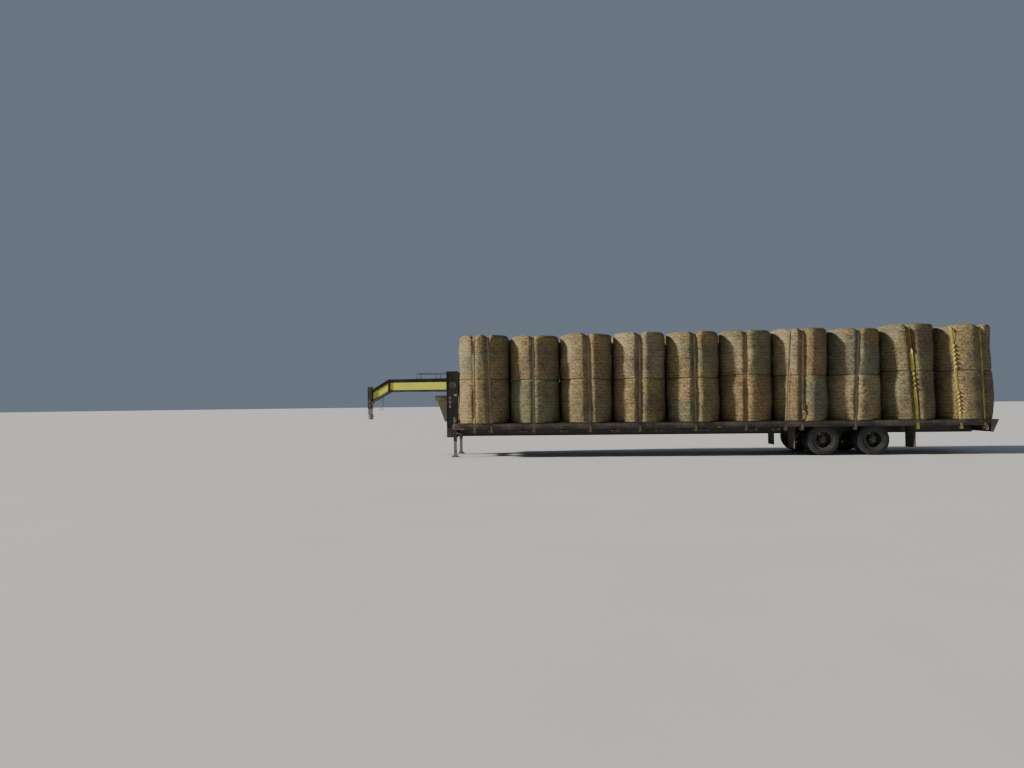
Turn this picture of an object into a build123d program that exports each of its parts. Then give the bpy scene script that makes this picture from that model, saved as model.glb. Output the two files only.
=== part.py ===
"""Gooseneck flatbed hay wagon with a strapped load of round bales, in millimetres.

Lengths along the wagon are measured from the front edge of the deck: -X is forward,
towards the coupler, and +X is towards the tail. +Y is the right-hand side, +Z is up and
the ground is Z = 0. When the pieces are written they are moved so that the origin lies
on the ground under the middle of the whole wagon.
"""

import math
import os

from build123d import *

# Deck and frame
deck_length = 13400.0
deck_width = 2590.0
deck_height = 885.0
plank_thickness = 38.0
plank_gap = 3.0
plank_width = 180.0
header_flange = 48.0
rail_height = 152.0
rail_flange = 48.0
rail_wall = 6.0
rub_rail_thickness = 10.0
rub_rail_height = 76.0
rub_rail_drop = 6.0
pocket_depth = 38.0
pocket_opening = 90.0
pocket_plate = 8.0
pocket_height = 100.0
pocket_first = 180.0
pocket_pitch = 1300.0

# Pierced main beams and their crossmembers
beam_depth = 305.0
beam_flange = 102.0
beam_flange_thickness = 10.0
beam_web = 8.0
beam_offset = 480.0
crossmember_height = 76.0
crossmember_width = 38.0
crossmember_wall = 5.0
crossmember_first = 230.0
crossmember_pitch = 406.0
outrigger_height = 25.0
outrigger_width = 50.0
wheel_room = 60.0
fit_clearance = 0.3

# Risers, neck and coupler
riser_depth = 309.0
riser_top = 2270.0
riser_cap = 8.0
riser_foot_reach = 110.0
neck_top = 2090.0
neck_depth = 340.0
neck_flange_thickness = 12.0
neck_level_length = 1610.0
neck_slope_length = 487.0
neck_slope = 30.0
neck_front_offset = 120.0
head_plate_thickness = 12.0
head_plate_width = 380.0
head_plate_height = 400.0
coupler_tube = 127.0
coupler_wall = 8.0
coupler_top = 1895.0
coupler_bottom = 1300.0
coupler_head_radius = 75.0
coupler_head_bottom = 1000.0
coupler_head_height = 140.0
socket_radius = 30.0
socket_depth = 60.0
cross_tube_radius = 84.0
cross_tube_wall = 7.0
cross_tube_height = 1906.0
cross_cap_radius = 100.0
cross_cap_thickness = 8.0
bulkhead_height = 152.0
bulkhead_flange = 80.0
bulkhead_setback = 60.0
neck_tie = 76.0
neck_tie_wall = 6.0
tray_length = 860.0
tray_rail_height = 150.0
tray_rod_radius = 7.0
tray_floor = 5.0
tray_rail_margin = 30.0

# Front tool box
box_sheet = 4.0
box_top = 1490.0
box_bottom = 930.0
box_reach_top = 256.0
box_reach_bottom = 62.0
box_rear_margin = 20.0
box_collar = 25.0
lid_skirt = 145.0
lid_side_margin = 67.0
lid_front_overhang = 76.0
lid_clearance = 6.0
lid_hinge_setback = 20.0
lid_hinge_radius = 6.0
lid_ear_thickness = 12.0
lid_ear_front = 10.0
lid_ear_rear = 14.0

# Landing jacks
jack_offset = 700.0
jack_setback = 100.0
jack_tube = 89.0
jack_wall = 6.0
jack_top = 1080.0
jack_bottom = 420.0
jack_foot = 210.0
jack_foot_thickness = 12.0
jack_bracket_height = 260.0
jack_bracket_rise = 90.0
jack_bracket_width = 60.0
jack_gear_height = 800.0
jack_gear_radius = 80.0
jack_gear_thickness = 55.0
jack_leg_top_gap = 40.0
jack_shaft_radius = 14.0
crank_radius = 9.0
crank_arm = 230.0
crank_grip = 110.0
crank_standoff = 60.0

# Running gear
tyre_radius = 395.0
tyre_width = 215.0
tread_width = 172.0
tyre_bead_width = 150.0
dual_spacing = 265.0
dual_centre = 945.0
axle_front_position = 9317.0
axle_spacing = 1247.0
axle_radius = 63.5
spindle_radius = 38.0
spindle_end_gap = 8.0
rim_barrel_radius = 214.0
rim_flange_radius = 238.0
rim_flange_thickness = 10.0
rim_wall = 8.0
rim_disc = 12.0
hand_hole_radius = 26.0
hand_hole_circle = 172.0
hand_hole_count = 8
hub_radius = 85.0
hub_cap_radius = 62.0
hub_cap_length = 60.0
hub_reach = 145.0
hub_depth = 85.0
drum_radius = 190.0
drum_wall = 28.0
drum_depth = 150.0
backing_thickness = 6.0
backing_clearance = 6.0

# Leaf springs
leaf_width = 76.0
leaf_thickness = 10.0
leaf_count = 4
leaf_step = 85.0
leaf_half_length = 500.0
leaf_camber = 18.0
seat_height = 12.0
clamp_plate = 8.0
clamp_margin = 3.0
u_bolt_radius = 7.0
hanger_plate = 8.0
hanger_height = 130.0
hanger_top_length = 170.0
hanger_bottom_length = 90.0
hanger_pin_radius = 11.0
hanger_pad_length = 90.0
hanger_pad_drop = 4.0
hanger_keeper_gap = 25.0
hanger_inset = 30.0
leaf_side_gap = 2.0
rocker_boss_radius = 32.0
rocker_thickness = 24.0
rocker_pad = 50.0

# Rear bumper, flaps and lamps
bumper_length = 200.0
bumper_depth = 325.0
bumper_foot_setback = 152.0
bumper_plate = 8.0
lamp_radius = 52.0
lamp_thickness = 16.0
lamp_pitch = 150.0
lamp_first = 130.0
lamp_flange = 6.0
small_lamp_radius = 14.0
small_lamp_pitch = 90.0
marker_length = 60.0
marker_height = 24.0
marker_depth = 14.0
flap_width = 570.0
flap_ground_clearance = 180.0
flap_thickness = 10.0
flap_overlap = 60.0
flap_behind_axle = 900.0
flap_ahead_of_axle = 717.0
flap_side_gap = 5.0

# Load
bale_diameter = 1365.0
bale_height = 1170.0
bale_gap = 4.0
bale_shoulder = 95.0
bale_foot = 45.0
bale_front_gap = 10.0
strap_width = 50.0
strap_thickness = 3.0
strap_corner = 150.0
strap_sink = 48.0
crease_flare = 110.0
crease_rise = 70.0
crease_run_out = 100.0
crease_side_gap = 6.0
winch_spool_radius = 22.0
winch_plate = 6.0
winch_height = 92.0
winch_depth = 80.0
winch_side_gap = 5.0
idle_winch_width = 150.0

# One row for each column of bales, from the front: how far the lower bale's diameter,
# the upper bale's diameter, the lower height and the upper height differ from the mean.
bale_columns = (
    (-15.0, -25.0, -23.0, -12.0),
    (-45.0, -51.0, -47.0, -18.0),
    (7.0, 3.0, -45.0, 15.0),
    (11.0, 11.0, -49.0, 29.0),
    (15.0, 3.0, -50.0, 31.0),
    (-21.0, -21.0, 20.0, -24.0),
    (35.0, 35.0, -12.0, 34.0),
    (-21.0, -37.0, -14.0, 20.0),
    (-5.0, -13.0, 66.0, 32.0),
    (35.0, 15.0, 56.0, -2.0),
)

# One row for each strap: its column of bales, counted from zero, and how far behind the
# centre of that column it lies at the deck and on top.
straps = (
    (0, -222.0, -235.0),
    (0, 207.0, 129.0),
    (1, -32.0, -40.0),
    (2, 56.0, 14.0),
    (3, -60.0, -39.0),
    (4, -27.0, -34.0),
    (5, -133.0, -111.0),
    (6, -515.0, -370.0),
    (6, -105.0, -49.0),
    (7, -157.0, -35.0),
    (8, 6.0, -177.0),
    (9, -317.0, -507.0),
    (9, 275.0, 197.0),
)

# Winches without a strap, by their distance behind the front of the deck.
idle_winches = (1736.0, 2772.0, 4070.0, 5184.0, 6335.0, 7545.0, 8119.0)

# Heights and widths that follow from the sizes above
plank_underside = deck_height - plank_thickness
beam_bottom = plank_underside - beam_depth
rail_bottom = deck_height - rail_height
half_width = deck_width / 2
rail_outer = half_width - rub_rail_thickness - pocket_depth
rail_inner_web = rail_outer - rail_wall
rail_inner_edge = rail_outer - rail_flange
crossmember_top = plank_underside - beam_flange_thickness
riser_rear = -37.0
riser_front = riser_rear - riser_depth
riser_inner_edge = beam_offset - beam_flange / 2
axle_rear_position = axle_front_position + axle_spacing
axle_height = tyre_radius
head_plate_rear = riser_front - neck_level_length - neck_slope_length
coupler_centre = head_plate_rear - head_plate_thickness - coupler_tube / 2
bumper_rear = deck_length + bumper_length
front_flap_place = axle_front_position - flap_ahead_of_axle
strap_line = rail_outer + (pocket_depth - strap_thickness) / 2


def block(x0, x1, y0, y1, z0, z1):
    """A box between two corners."""
    centre = ((x0 + x1) / 2, (y0 + y1) / 2, (z0 + z1) / 2)
    return Pos(*centre) * Box(x1 - x0, y1 - y0, z1 - z0)


def side_prism(points, y0, y1):
    """A side outline, given as (x, z) points, carried across from y0 to y1."""
    face = Plane.XZ * make_face(Polyline(*points, close=True))
    return Pos(0, y0, 0) * extrude(face, amount=y1 - y0, dir=(0, 1, 0))


def cross_cylinder(radius, x, z, y0, y1):
    """A round bar across the wagon from y0 to y1."""
    bar = Rot(90, 0, 0) * Cylinder(radius, y1 - y0)
    return Pos(x, (y0 + y1) / 2, z) * bar


def wheel_ring(inner, outer, y0, y1):
    """A ring round the axle line from y0 to y1, with its centre at the origin."""
    face = Pos((inner + outer) / 2, (y0 + y1) / 2) * Rectangle(outer - inner, y1 - y0)
    return revolve(face, axis=Axis.Y)


def both_sides(shape):
    """The right-hand shape and its mirror image on the left."""
    return [mirror(shape, about=Plane.XZ), shape]


def on_side(shape, side):
    """The shape itself for the right-hand side, its mirror image for the left."""
    return shape if side == "right" else mirror(shape, about=Plane.XZ)


def i_beam_along(x0, x1, y, z_bottom):
    """A lengthwise I-beam with its web at y."""
    top = z_bottom + beam_depth
    half = beam_flange / 2
    web = block(x0, x1, y - beam_web / 2, y + beam_web / 2, z_bottom, top)
    lower = block(x0, x1, y - half, y + half, z_bottom, z_bottom + beam_flange_thickness)
    upper = block(x0, x1, y - half, y + half, top - beam_flange_thickness, top)
    return web + lower + upper


def crossmember_places():
    """Front faces of the crossmembers, from the front of the deck to the bumper."""
    count = int((deck_length - header_flange - crossmember_first) // crossmember_pitch) + 1
    places = [crossmember_first + i * crossmember_pitch for i in range(count)]
    return [x for x in places if x + crossmember_width < deck_length - header_flange]


def over_wheels(x):
    """True where a crossmember would come over the tyres."""
    margin = tyre_radius + wheel_room
    front = axle_front_position - margin - crossmember_width
    return front < x < axle_rear_position + margin


def crossmember(x, y0, y1):
    """A channel laid across the frame with its open side to the rear."""
    z1 = crossmember_top
    z0 = z1 - crossmember_height
    whole = block(x, x + crossmember_width, y0, y1, z0, z1)
    hollow = block(
        x + crossmember_wall,
        x + crossmember_width + 1,
        y0 - 1,
        y1 + 1,
        z0 + crossmember_wall,
        z1 - crossmember_wall,
    )
    return whole - hollow


def main_beam():
    """The right-hand main beam, pierced for the crossmembers that pass through it."""
    beam = i_beam_along(riser_rear, deck_length - header_flange, beam_offset, beam_bottom)
    slots = [
        block(
            x - fit_clearance,
            x + crossmember_width + fit_clearance,
            beam_offset - beam_web,
            beam_offset + beam_web,
            crossmember_top - crossmember_height - fit_clearance,
            crossmember_top,
        )
        for x in crossmember_places()
        if not over_wheels(x)
    ]
    return beam - slots


def full_crossmembers(behind):
    """Crossmembers from rail to rail, ahead of the wheels or behind them."""
    places = [x for x in crossmember_places() if not over_wheels(x)]
    chosen = [x for x in places if (x > axle_rear_position) == behind]
    return [crossmember(x, -rail_inner_web, rail_inner_web) for x in chosen]


def middle_crossmembers():
    """Crossmembers between the main beams, where the tyres take the room outside."""
    reach = beam_offset - beam_web / 2
    return [crossmember(x, -reach, reach) for x in crossmember_places() if over_wheels(x)]


def outriggers():
    """Flat bars out to the side rails, over the tyres and over the front mud flaps."""
    inner = beam_offset + beam_flange / 2
    bars = []
    for x in [front_flap_place] + [x for x in crossmember_places() if over_wheels(x)]:
        bar = block(
            x,
            x + outrigger_width,
            inner,
            rail_inner_web,
            plank_underside - outrigger_height,
            plank_underside,
        )
        bars += both_sides(bar)
    return bars


def side_rail():
    """The right-hand side channel, its flanges turned inwards."""
    whole = block(0, deck_length, rail_inner_edge, rail_outer, rail_bottom, deck_height)
    hollow = block(
        -1,
        deck_length + 1,
        rail_inner_edge - 1,
        rail_inner_web,
        rail_bottom + rail_wall,
        deck_height - rail_wall,
    )
    return whole - hollow


def rub_rail():
    """The right-hand rub rail, a flat bar outside the stake pockets."""
    top = deck_height - rub_rail_drop
    inner = half_width - rub_rail_thickness
    return block(0, deck_length, inner, half_width, top - rub_rail_height, top)


def pocket_places():
    """Centres of the stake pockets along a side rail."""
    count = int((deck_length - pocket_first - pocket_opening) // pocket_pitch) + 1
    return [pocket_first + i * pocket_pitch for i in range(count)]


def stake_pockets():
    """The two plates of each right-hand stake pocket, between rail and rub rail."""
    top = deck_height - rub_rail_drop
    plates = []
    for x in pocket_places():
        for side in (-1, 1):
            near = x + side * pocket_opening / 2
            far = near + side * pocket_plate
            plates.append(
                block(
                    min(near, far),
                    max(near, far),
                    rail_outer,
                    rail_outer + pocket_depth,
                    top - pocket_height,
                    top,
                )
            )
    return plates


def front_header():
    """The channel across the front of the deck, notched over the main beams."""
    width = rail_inner_edge
    whole = block(0, header_flange, -width, width, rail_bottom, deck_height)
    hollow = block(
        rail_wall,
        header_flange + 1,
        -width - 1,
        width + 1,
        rail_bottom + rail_wall,
        deck_height - rail_wall,
    )
    notches = both_sides(
        block(
            -1,
            header_flange + 1,
            beam_offset - beam_flange / 2 - fit_clearance,
            beam_offset + beam_flange / 2 + fit_clearance,
            rail_bottom - 1,
            plank_underside,
        )
    )
    return whole - hollow - notches


def deck_planks():
    """Lengthwise boards that fill the space between the side rails."""
    clear = 2 * rail_inner_edge
    count = round((clear - plank_gap) / (plank_width + plank_gap))
    width = (clear - plank_gap * (count + 1)) / count
    boards = []
    for i in range(count):
        y = -clear / 2 + plank_gap + i * (width + plank_gap)
        boards.append(
            block(header_flange, deck_length, y, y + width, plank_underside, deck_height)
        )
    return boards


def riser():
    """The right-hand upright of the gooseneck, with a cap, a foot and pierced web."""
    y = beam_offset
    half = beam_flange / 2
    flange = beam_flange_thickness
    web = block(riser_front, riser_rear, y - beam_web / 2, y + beam_web / 2, beam_bottom, riser_top)
    front = block(riser_front, riser_front + flange, y - half, y + half, beam_bottom, riser_top)
    rear = block(riser_rear - flange, riser_rear, y - half, y + half, beam_bottom, riser_top)
    cap = block(riser_front, riser_rear, y - half, y + half, riser_top, riser_top + riser_cap)
    foot = block(
        riser_front - riser_foot_reach,
        riser_front,
        y - half / 2,
        y + half / 2,
        beam_bottom,
        beam_bottom + flange,
    )
    x_tube = (riser_front + riser_rear) / 2
    reach = (y - beam_web, y + beam_web)
    tube_hole = cross_cylinder(cross_tube_radius + fit_clearance, x_tube, cross_tube_height, *reach)
    shaft_hole = cross_cylinder(
        jack_shaft_radius + fit_clearance, -jack_setback, jack_gear_height, *reach
    )
    return web + front + rear + cap + foot - tube_hole - shaft_hole


def riser_cross_members():
    """The round tie through both risers, with its end caps, and the bulkhead channel."""
    x = (riser_front + riser_rear) / 2
    cap_inner = beam_offset + beam_web / 2
    cap_outer = cap_inner + cross_cap_thickness
    tube = cross_cylinder(cross_tube_radius, x, cross_tube_height, -cap_outer, cap_outer)
    bore = cross_cylinder(
        cross_tube_radius - cross_tube_wall, x, cross_tube_height, -cap_inner, cap_inner
    )
    cap = cross_cylinder(cross_cap_radius, x, cross_tube_height, cap_inner, cap_outer)
    tie = tube - bore
    for piece in both_sides(cap):
        tie = tie + piece
    reach = beam_offset - beam_web / 2
    front = x - bulkhead_setback
    rear = front + bulkhead_flange
    low = beam_bottom + beam_flange_thickness
    bulkhead = block(front, rear, -reach, reach, low, low + bulkhead_height)
    hollow = block(
        front + rail_wall,
        rear + 1,
        -reach - 1,
        reach + 1,
        low + rail_wall,
        low + bulkhead_height - rail_wall,
    )
    return [tie, bulkhead - hollow]


def neck_turn():
    """The angle in plan between a neck beam and the wagon's centre line."""
    run = neck_level_length + neck_slope_length
    return math.atan2(beam_offset - neck_front_offset, run)


def neck_line(z_rear, overrun):
    """The (x, z) points of a neck edge at the height z_rear, ahead of the riser."""
    stretch = 1 / math.cos(neck_turn())
    slope = math.tan(math.radians(neck_slope))
    bend = -neck_level_length * stretch
    front = -(neck_level_length + neck_slope_length) * stretch - overrun
    drop = (bend - front) / stretch * slope
    return [(overrun, z_rear), (bend, z_rear), (front, z_rear - drop)]


def neck_beam():
    """The right-hand neck beam: level from the riser, then sloped down to the head plate."""
    overrun = 100.0
    half = beam_flange / 2
    top = neck_line(neck_top, overrun)
    under_top = neck_line(neck_top - neck_flange_thickness, overrun)
    over_bottom = neck_line(neck_top - neck_depth + neck_flange_thickness, overrun)
    bottom = neck_line(neck_top - neck_depth, overrun)
    web = side_prism(under_top + over_bottom[::-1], -beam_web / 2, beam_web / 2)
    upper = side_prism(top + under_top[::-1], -half, half)
    lower = side_prism(over_bottom + bottom[::-1], -half, half)
    beam = Rot(0, 0, math.degrees(neck_turn())) * (web + upper + lower)
    beam = Pos(riser_front, beam_offset, 0) * beam
    keep = block(
        head_plate_rear, riser_front, -deck_width, deck_width, coupler_head_bottom, riser_top
    )
    return (beam & keep).solids()[0]


def neck_ties(beams):
    """Square tubes between the neck beams, at the bend and halfway back to the risers."""
    ties = []
    middle = neck_top - neck_depth / 2
    for share in (0.5, 1.0):
        x = riser_front - neck_level_length * share
        tube = block(
            x - neck_tie / 2,
            x + neck_tie / 2,
            -beam_offset,
            beam_offset,
            middle - neck_tie / 2,
            middle + neck_tie / 2,
        )
        bore = block(
            x - neck_tie / 2 + neck_tie_wall,
            x + neck_tie / 2 - neck_tie_wall,
            -beam_offset,
            beam_offset,
            middle - neck_tie / 2 + neck_tie_wall,
            middle + neck_tie / 2 - neck_tie_wall,
        )
        cut = tube - bore - beams
        ties.append(min(cut.solids(), key=lambda solid: abs(solid.center().Y)))
    return ties


def coupler_outer():
    """The head plate across the ends of the neck beams and the square sleeve on it."""
    slope = math.tan(math.radians(neck_slope))
    middle = neck_top - neck_depth / 2 - neck_slope_length * slope
    front = head_plate_rear - head_plate_thickness
    plate = block(
        front,
        head_plate_rear,
        -head_plate_width / 2,
        head_plate_width / 2,
        middle - head_plate_height / 2,
        middle + head_plate_height / 2,
    )
    half = coupler_tube / 2
    inner = half - coupler_wall
    x = coupler_centre
    sleeve = block(x - half, x + half, -half, half, coupler_bottom, coupler_top)
    bore = block(x - inner, x + inner, -inner, inner, coupler_bottom - 1, coupler_top - coupler_wall)
    return plate + (sleeve - bore)


def coupler_inner():
    """The sliding post with the ball socket at its foot."""
    inner = coupler_tube / 2 - coupler_wall - fit_clearance
    x = coupler_centre
    head_top = coupler_head_bottom + coupler_head_height
    post = block(x - inner, x + inner, -inner, inner, head_top, coupler_top - 200)
    head = Pos(x, 0, (coupler_head_bottom + head_top) / 2) * Cylinder(
        coupler_head_radius, coupler_head_height
    )
    socket = Pos(x, 0, coupler_head_bottom + socket_depth / 2 - 1) * Cylinder(
        socket_radius, socket_depth + 2
    )
    return post + head - socket


def chain_tray():
    """The tray on top of the neck: a floor on the beams and a bent rod rail round it."""
    rear = riser_front
    front = rear - tray_length
    turn = math.tan(neck_turn())
    rear_half = beam_offset
    front_half = beam_offset - tray_length * turn
    outline = [
        (rear, -rear_half),
        (rear, rear_half),
        (front, front_half),
        (front, -front_half),
    ]
    floor = Pos(0, 0, neck_top) * extrude(
        make_face(Polyline(*outline, close=True)), amount=tray_floor
    )
    rail_z = neck_top + tray_floor + tray_rail_height - tray_rod_radius
    rail_front = front + tray_rail_margin
    rail_rear_half = rear_half - tray_rail_margin
    rail_front_half = front_half - tray_rail_margin
    corners = [
        Vector(rear + tray_rod_radius, -rail_rear_half, rail_z),
        Vector(rail_front, -rail_front_half, rail_z),
        Vector(rail_front, rail_front_half, rail_z),
        Vector(rear + tray_rod_radius, rail_rear_half, rail_z),
    ]
    tray = floor
    for start, end in zip(corners, corners[1:]):
        run = (end - start).length
        direction = (end - start).normalized()
        bar = Plane(origin=start, z_dir=direction) * Cylinder(
            tray_rod_radius, run, align=(Align.CENTER, Align.CENTER, Align.MIN)
        )
        tray = tray + bar
    posts = []
    for share in (0.35, 1.0):
        x = rear - (tray_length - tray_rail_margin) * share
        y = rail_rear_half + (rail_front_half - rail_rear_half) * share
        for side in (-1, 1):
            posts.append((x, side * y))
    for x, y in posts:
        height = rail_z - neck_top
        post = Pos(x, y, neck_top + height / 2) * Cylinder(tray_rod_radius, height)
        tray = tray + post
    keep = block(front - 1, rear, -beam_offset - 1, beam_offset + 1, neck_top, rail_z + 2 * tray_rod_radius)
    return (tray & keep).solids()[0]


def box_outline(inset):
    """The side outline of the tool box, drawn in by the thickness of its sheet."""
    rear = riser_rear - box_rear_margin
    slope = (box_reach_top - box_reach_bottom) / (box_top - box_bottom)
    lean = inset * math.sqrt(1 + slope * slope)
    top = box_top - inset
    bottom = box_bottom + inset
    front_top = riser_front - box_reach_top + lean + slope * inset
    front_bottom = riser_front - box_reach_bottom + lean - slope * inset
    return [
        (rear - inset, bottom),
        (rear - inset, top),
        (front_top, top),
        (front_bottom, bottom),
    ]


def lid_opening():
    """Front, rear and half width of the opening in the top of the tool box."""
    front = riser_front - box_reach_top + 2 * box_sheet + lid_clearance
    rear = riser_front - 2 * lid_hinge_setback
    return front, rear, lid_half() - 2 * box_sheet - lid_clearance


def lid_half():
    """Half the width of the tool box lid."""
    return riser_inner_edge - lid_side_margin


def lid_hinge():
    """The (x, z) place of the pin the lid turns on, at its upper rear edge."""
    return riser_front - lid_hinge_setback, box_top + lid_skirt - lid_hinge_radius


def tool_box():
    """The sheet steel box between the risers, with an opening and collar for its lid."""
    half = riser_inner_edge
    shell = side_prism(box_outline(0), -half, half)
    inside = side_prism(box_outline(box_sheet), -half + box_sheet, half - box_sheet)
    front, rear, side = lid_opening()
    high = box_top + box_collar
    opening = block(front, rear, -side, side, box_top - box_sheet - 1, high + 1)
    collar = block(
        front - box_sheet,
        rear + box_sheet,
        -side - box_sheet,
        side + box_sheet,
        box_top - box_sheet,
        high,
    )
    return shell - inside + collar - opening


def tool_box_lid():
    """The lid: a deep cap that overhangs the front of the box, and its hinge barrel."""
    half = lid_half()
    hinge_x, hinge_z = lid_hinge()
    front = riser_front - box_reach_top - lid_front_overhang
    top = box_top + lid_skirt
    low = box_top + lid_clearance
    whole = block(front, hinge_x, -half, half, low, top)
    hollow = block(
        front + box_sheet,
        hinge_x + 1,
        -half + box_sheet,
        half - box_sheet,
        low - 1,
        top - box_sheet,
    )
    barrel = cross_cylinder(lid_hinge_radius, hinge_x, hinge_z, -half, half)
    return whole - hollow + barrel


def lid_hinge_stand():
    """Uprights beside the lid that carry the ends of its hinge pin."""
    hinge_x, hinge_z = lid_hinge()
    half = lid_half()
    ear = block(
        hinge_x - lid_ear_front,
        hinge_x + lid_ear_rear,
        half + fit_clearance,
        half + lid_ear_thickness,
        box_top,
        hinge_z + lid_ear_front,
    )
    return both_sides(ear)


def jack_bodies():
    """The outer tubes of the jacks with their gear housings and brackets to the risers."""
    half = jack_tube / 2
    inner = half - jack_wall
    x = -jack_setback
    y = jack_offset
    tube = block(x - half, x + half, y - half, y + half, jack_bottom, jack_top)
    bore = block(x - inner, x + inner, y - inner, y + inner, jack_bottom - 1, jack_top - jack_wall)
    gear = cross_cylinder(
        jack_gear_radius, x, jack_gear_height, y + half, y + half + jack_gear_thickness
    )
    bracket_low = jack_bottom + jack_bracket_rise
    bracket = block(
        x - jack_bracket_width / 2,
        x + jack_bracket_width / 2,
        beam_offset + beam_flange / 2,
        y - half,
        bracket_low,
        bracket_low + jack_bracket_height,
    )
    flange = block(
        riser_front,
        riser_rear,
        beam_offset + beam_flange / 2,
        beam_offset + beam_flange / 2 + jack_wall * 2,
        bracket_low,
        bracket_low + jack_bracket_height,
    )
    passage = cross_cylinder(
        jack_shaft_radius + fit_clearance, x, jack_gear_height, y - half - 1, y - inner
    )
    body = tube - bore + gear + bracket + flange - passage
    return both_sides(body)


def jack_legs():
    """The inner legs, let down to the ground, with their feet."""
    inner = jack_tube / 2 - jack_wall - fit_clearance
    x = -jack_setback
    y = jack_offset
    top = jack_gear_height - jack_shaft_radius - jack_leg_top_gap
    leg = block(x - inner, x + inner, y - inner, y + inner, jack_foot_thickness, top)
    half = jack_foot / 2
    foot = block(x - half, x + half, y - half, y + half, 0, jack_foot_thickness)
    return both_sides(leg + foot)


def jack_drive():
    """The shaft between the jacks and the crank at the left-hand gear housing."""
    x = -jack_setback
    z = jack_gear_height
    inner = jack_offset - jack_tube / 2 + jack_wall
    shaft = cross_cylinder(jack_shaft_radius, x, z, -inner + 1, inner - 1)
    face = -(jack_offset + jack_tube / 2 + jack_gear_thickness)
    end = face - crank_standoff
    stub = cross_cylinder(crank_radius, x, z, end, face)
    arm = Pos(x, end + crank_radius, z + crank_arm / 2) * Cylinder(crank_radius, crank_arm)
    grip = cross_cylinder(
        crank_radius * 1.4, x, z + crank_arm, end - crank_grip + 2 * crank_radius, end + 2 * crank_radius
    )
    return [shaft, stub + arm + grip]


def axle(x):
    """An axle beam with its spindles and brake backing plates."""
    drum_inner = drum_radius - drum_wall
    drum_mouth = dual_centre - rim_disc - drum_depth
    plate_outer = drum_mouth + backing_thickness
    spindle_end = dual_centre + hub_reach - spindle_end_gap
    tube = wheel_ring(0, axle_radius, -plate_outer, plate_outer)
    spindle = wheel_ring(0, spindle_radius, -spindle_end, spindle_end)
    beam = tube + spindle
    for side in (-1, 1):
        y = side * (plate_outer - backing_thickness / 2)
        plate = wheel_ring(
            0,
            drum_inner - backing_clearance,
            y - backing_thickness / 2,
            y + backing_thickness / 2,
        )
        beam = beam + plate
    return Pos(x, 0, axle_height) * beam


def hub_and_rims(x):
    """The right-hand hub, brake drum and pair of dished rims, as one turning piece."""
    y = dual_centre
    half_rim = tyre_bead_width / 2 + 2 * fit_clearance + rim_flange_thickness
    barrel_inner = rim_barrel_radius - rim_wall
    cap_start = y + hub_reach
    pieces = [
        wheel_ring(spindle_radius + fit_clearance, hub_radius, y - hub_depth, cap_start),
        wheel_ring(0, hub_cap_radius, cap_start, cap_start + hub_cap_length),
        wheel_ring(hub_radius, barrel_inner, y - rim_disc, y + rim_disc),
        wheel_ring(
            hub_radius,
            drum_radius,
            y - rim_disc - drum_wall / 2,
            y - rim_disc,
        ),
        wheel_ring(
            drum_radius - drum_wall,
            drum_radius,
            y - rim_disc - drum_depth,
            y - rim_disc - drum_wall / 2,
        ),
    ]
    for side in (-1, 1):
        centre = y + side * dual_spacing / 2
        far = centre + side * half_rim
        near = y
        pieces.append(
            wheel_ring(barrel_inner, rim_barrel_radius, min(near, far), max(near, far))
        )
        for edge in (-1, 1):
            start = centre + edge * (half_rim - rim_flange_thickness)
            end = centre + edge * half_rim
            pieces.append(
                wheel_ring(
                    rim_barrel_radius - 1,
                    rim_flange_radius,
                    min(start, end),
                    max(start, end),
                )
            )
    wheel = pieces[0]
    for piece in pieces[1:]:
        wheel = wheel + piece
    hole = cross_cylinder(hand_hole_radius, hand_hole_circle, 0, y - rim_disc - 1, y + rim_disc + 1)
    drum_back = y - rim_disc - drum_wall
    outer_hole = cross_cylinder(hand_hole_radius, hand_hole_circle, 0, drum_back, y + rim_disc + 1)
    for i in range(hand_hole_count):
        wheel = wheel - Rot(0, 360 / hand_hole_count * i, 0) * (hole + outer_hole)
    return Pos(x, 0, axle_height) * wheel


def tyre_outline():
    """Half of a tyre's section through the axle, as a closed outline of lines and arcs."""
    bead = rim_barrel_radius + fit_clearance
    lip = rim_flange_radius + 2
    half_bead = tyre_bead_width / 2
    half_tread = tread_width / 2
    shoulder = tyre_radius - 22
    belly = (lip + shoulder) / 2
    half = tyre_width / 2
    edges = [
        Line((bead, -half_bead), (bead, half_bead)),
        Line((bead, half_bead), (lip, half_bead)),
        ThreePointArc((lip, half_bead), (belly, half), (shoulder, half_tread + 12)),
        Line((shoulder, half_tread + 12), (tyre_radius, half_tread)),
        Line((tyre_radius, half_tread), (tyre_radius, -half_tread)),
        Line((tyre_radius, -half_tread), (shoulder, -half_tread - 12)),
        ThreePointArc((shoulder, -half_tread - 12), (belly, -half), (lip, -half_bead)),
        Line((lip, -half_bead), (bead, -half_bead)),
    ]
    return make_face(edges)


def tyres(x):
    """The two tyres of a right-hand wheel station."""
    pair = []
    for side in (-1, 1):
        y = dual_centre + side * dual_spacing / 2
        pair.append(Pos(x, y, axle_height) * revolve(tyre_outline(), axis=Axis.Y))
    return pair


def spring_base():
    """The height of the underside of a leaf spring over its axle."""
    return axle_height + axle_radius + seat_height


def leaf_radius():
    """The radius of the top of the main leaf, from its camber and length."""
    return (leaf_half_length**2 + leaf_camber**2) / (2 * leaf_camber)


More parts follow.
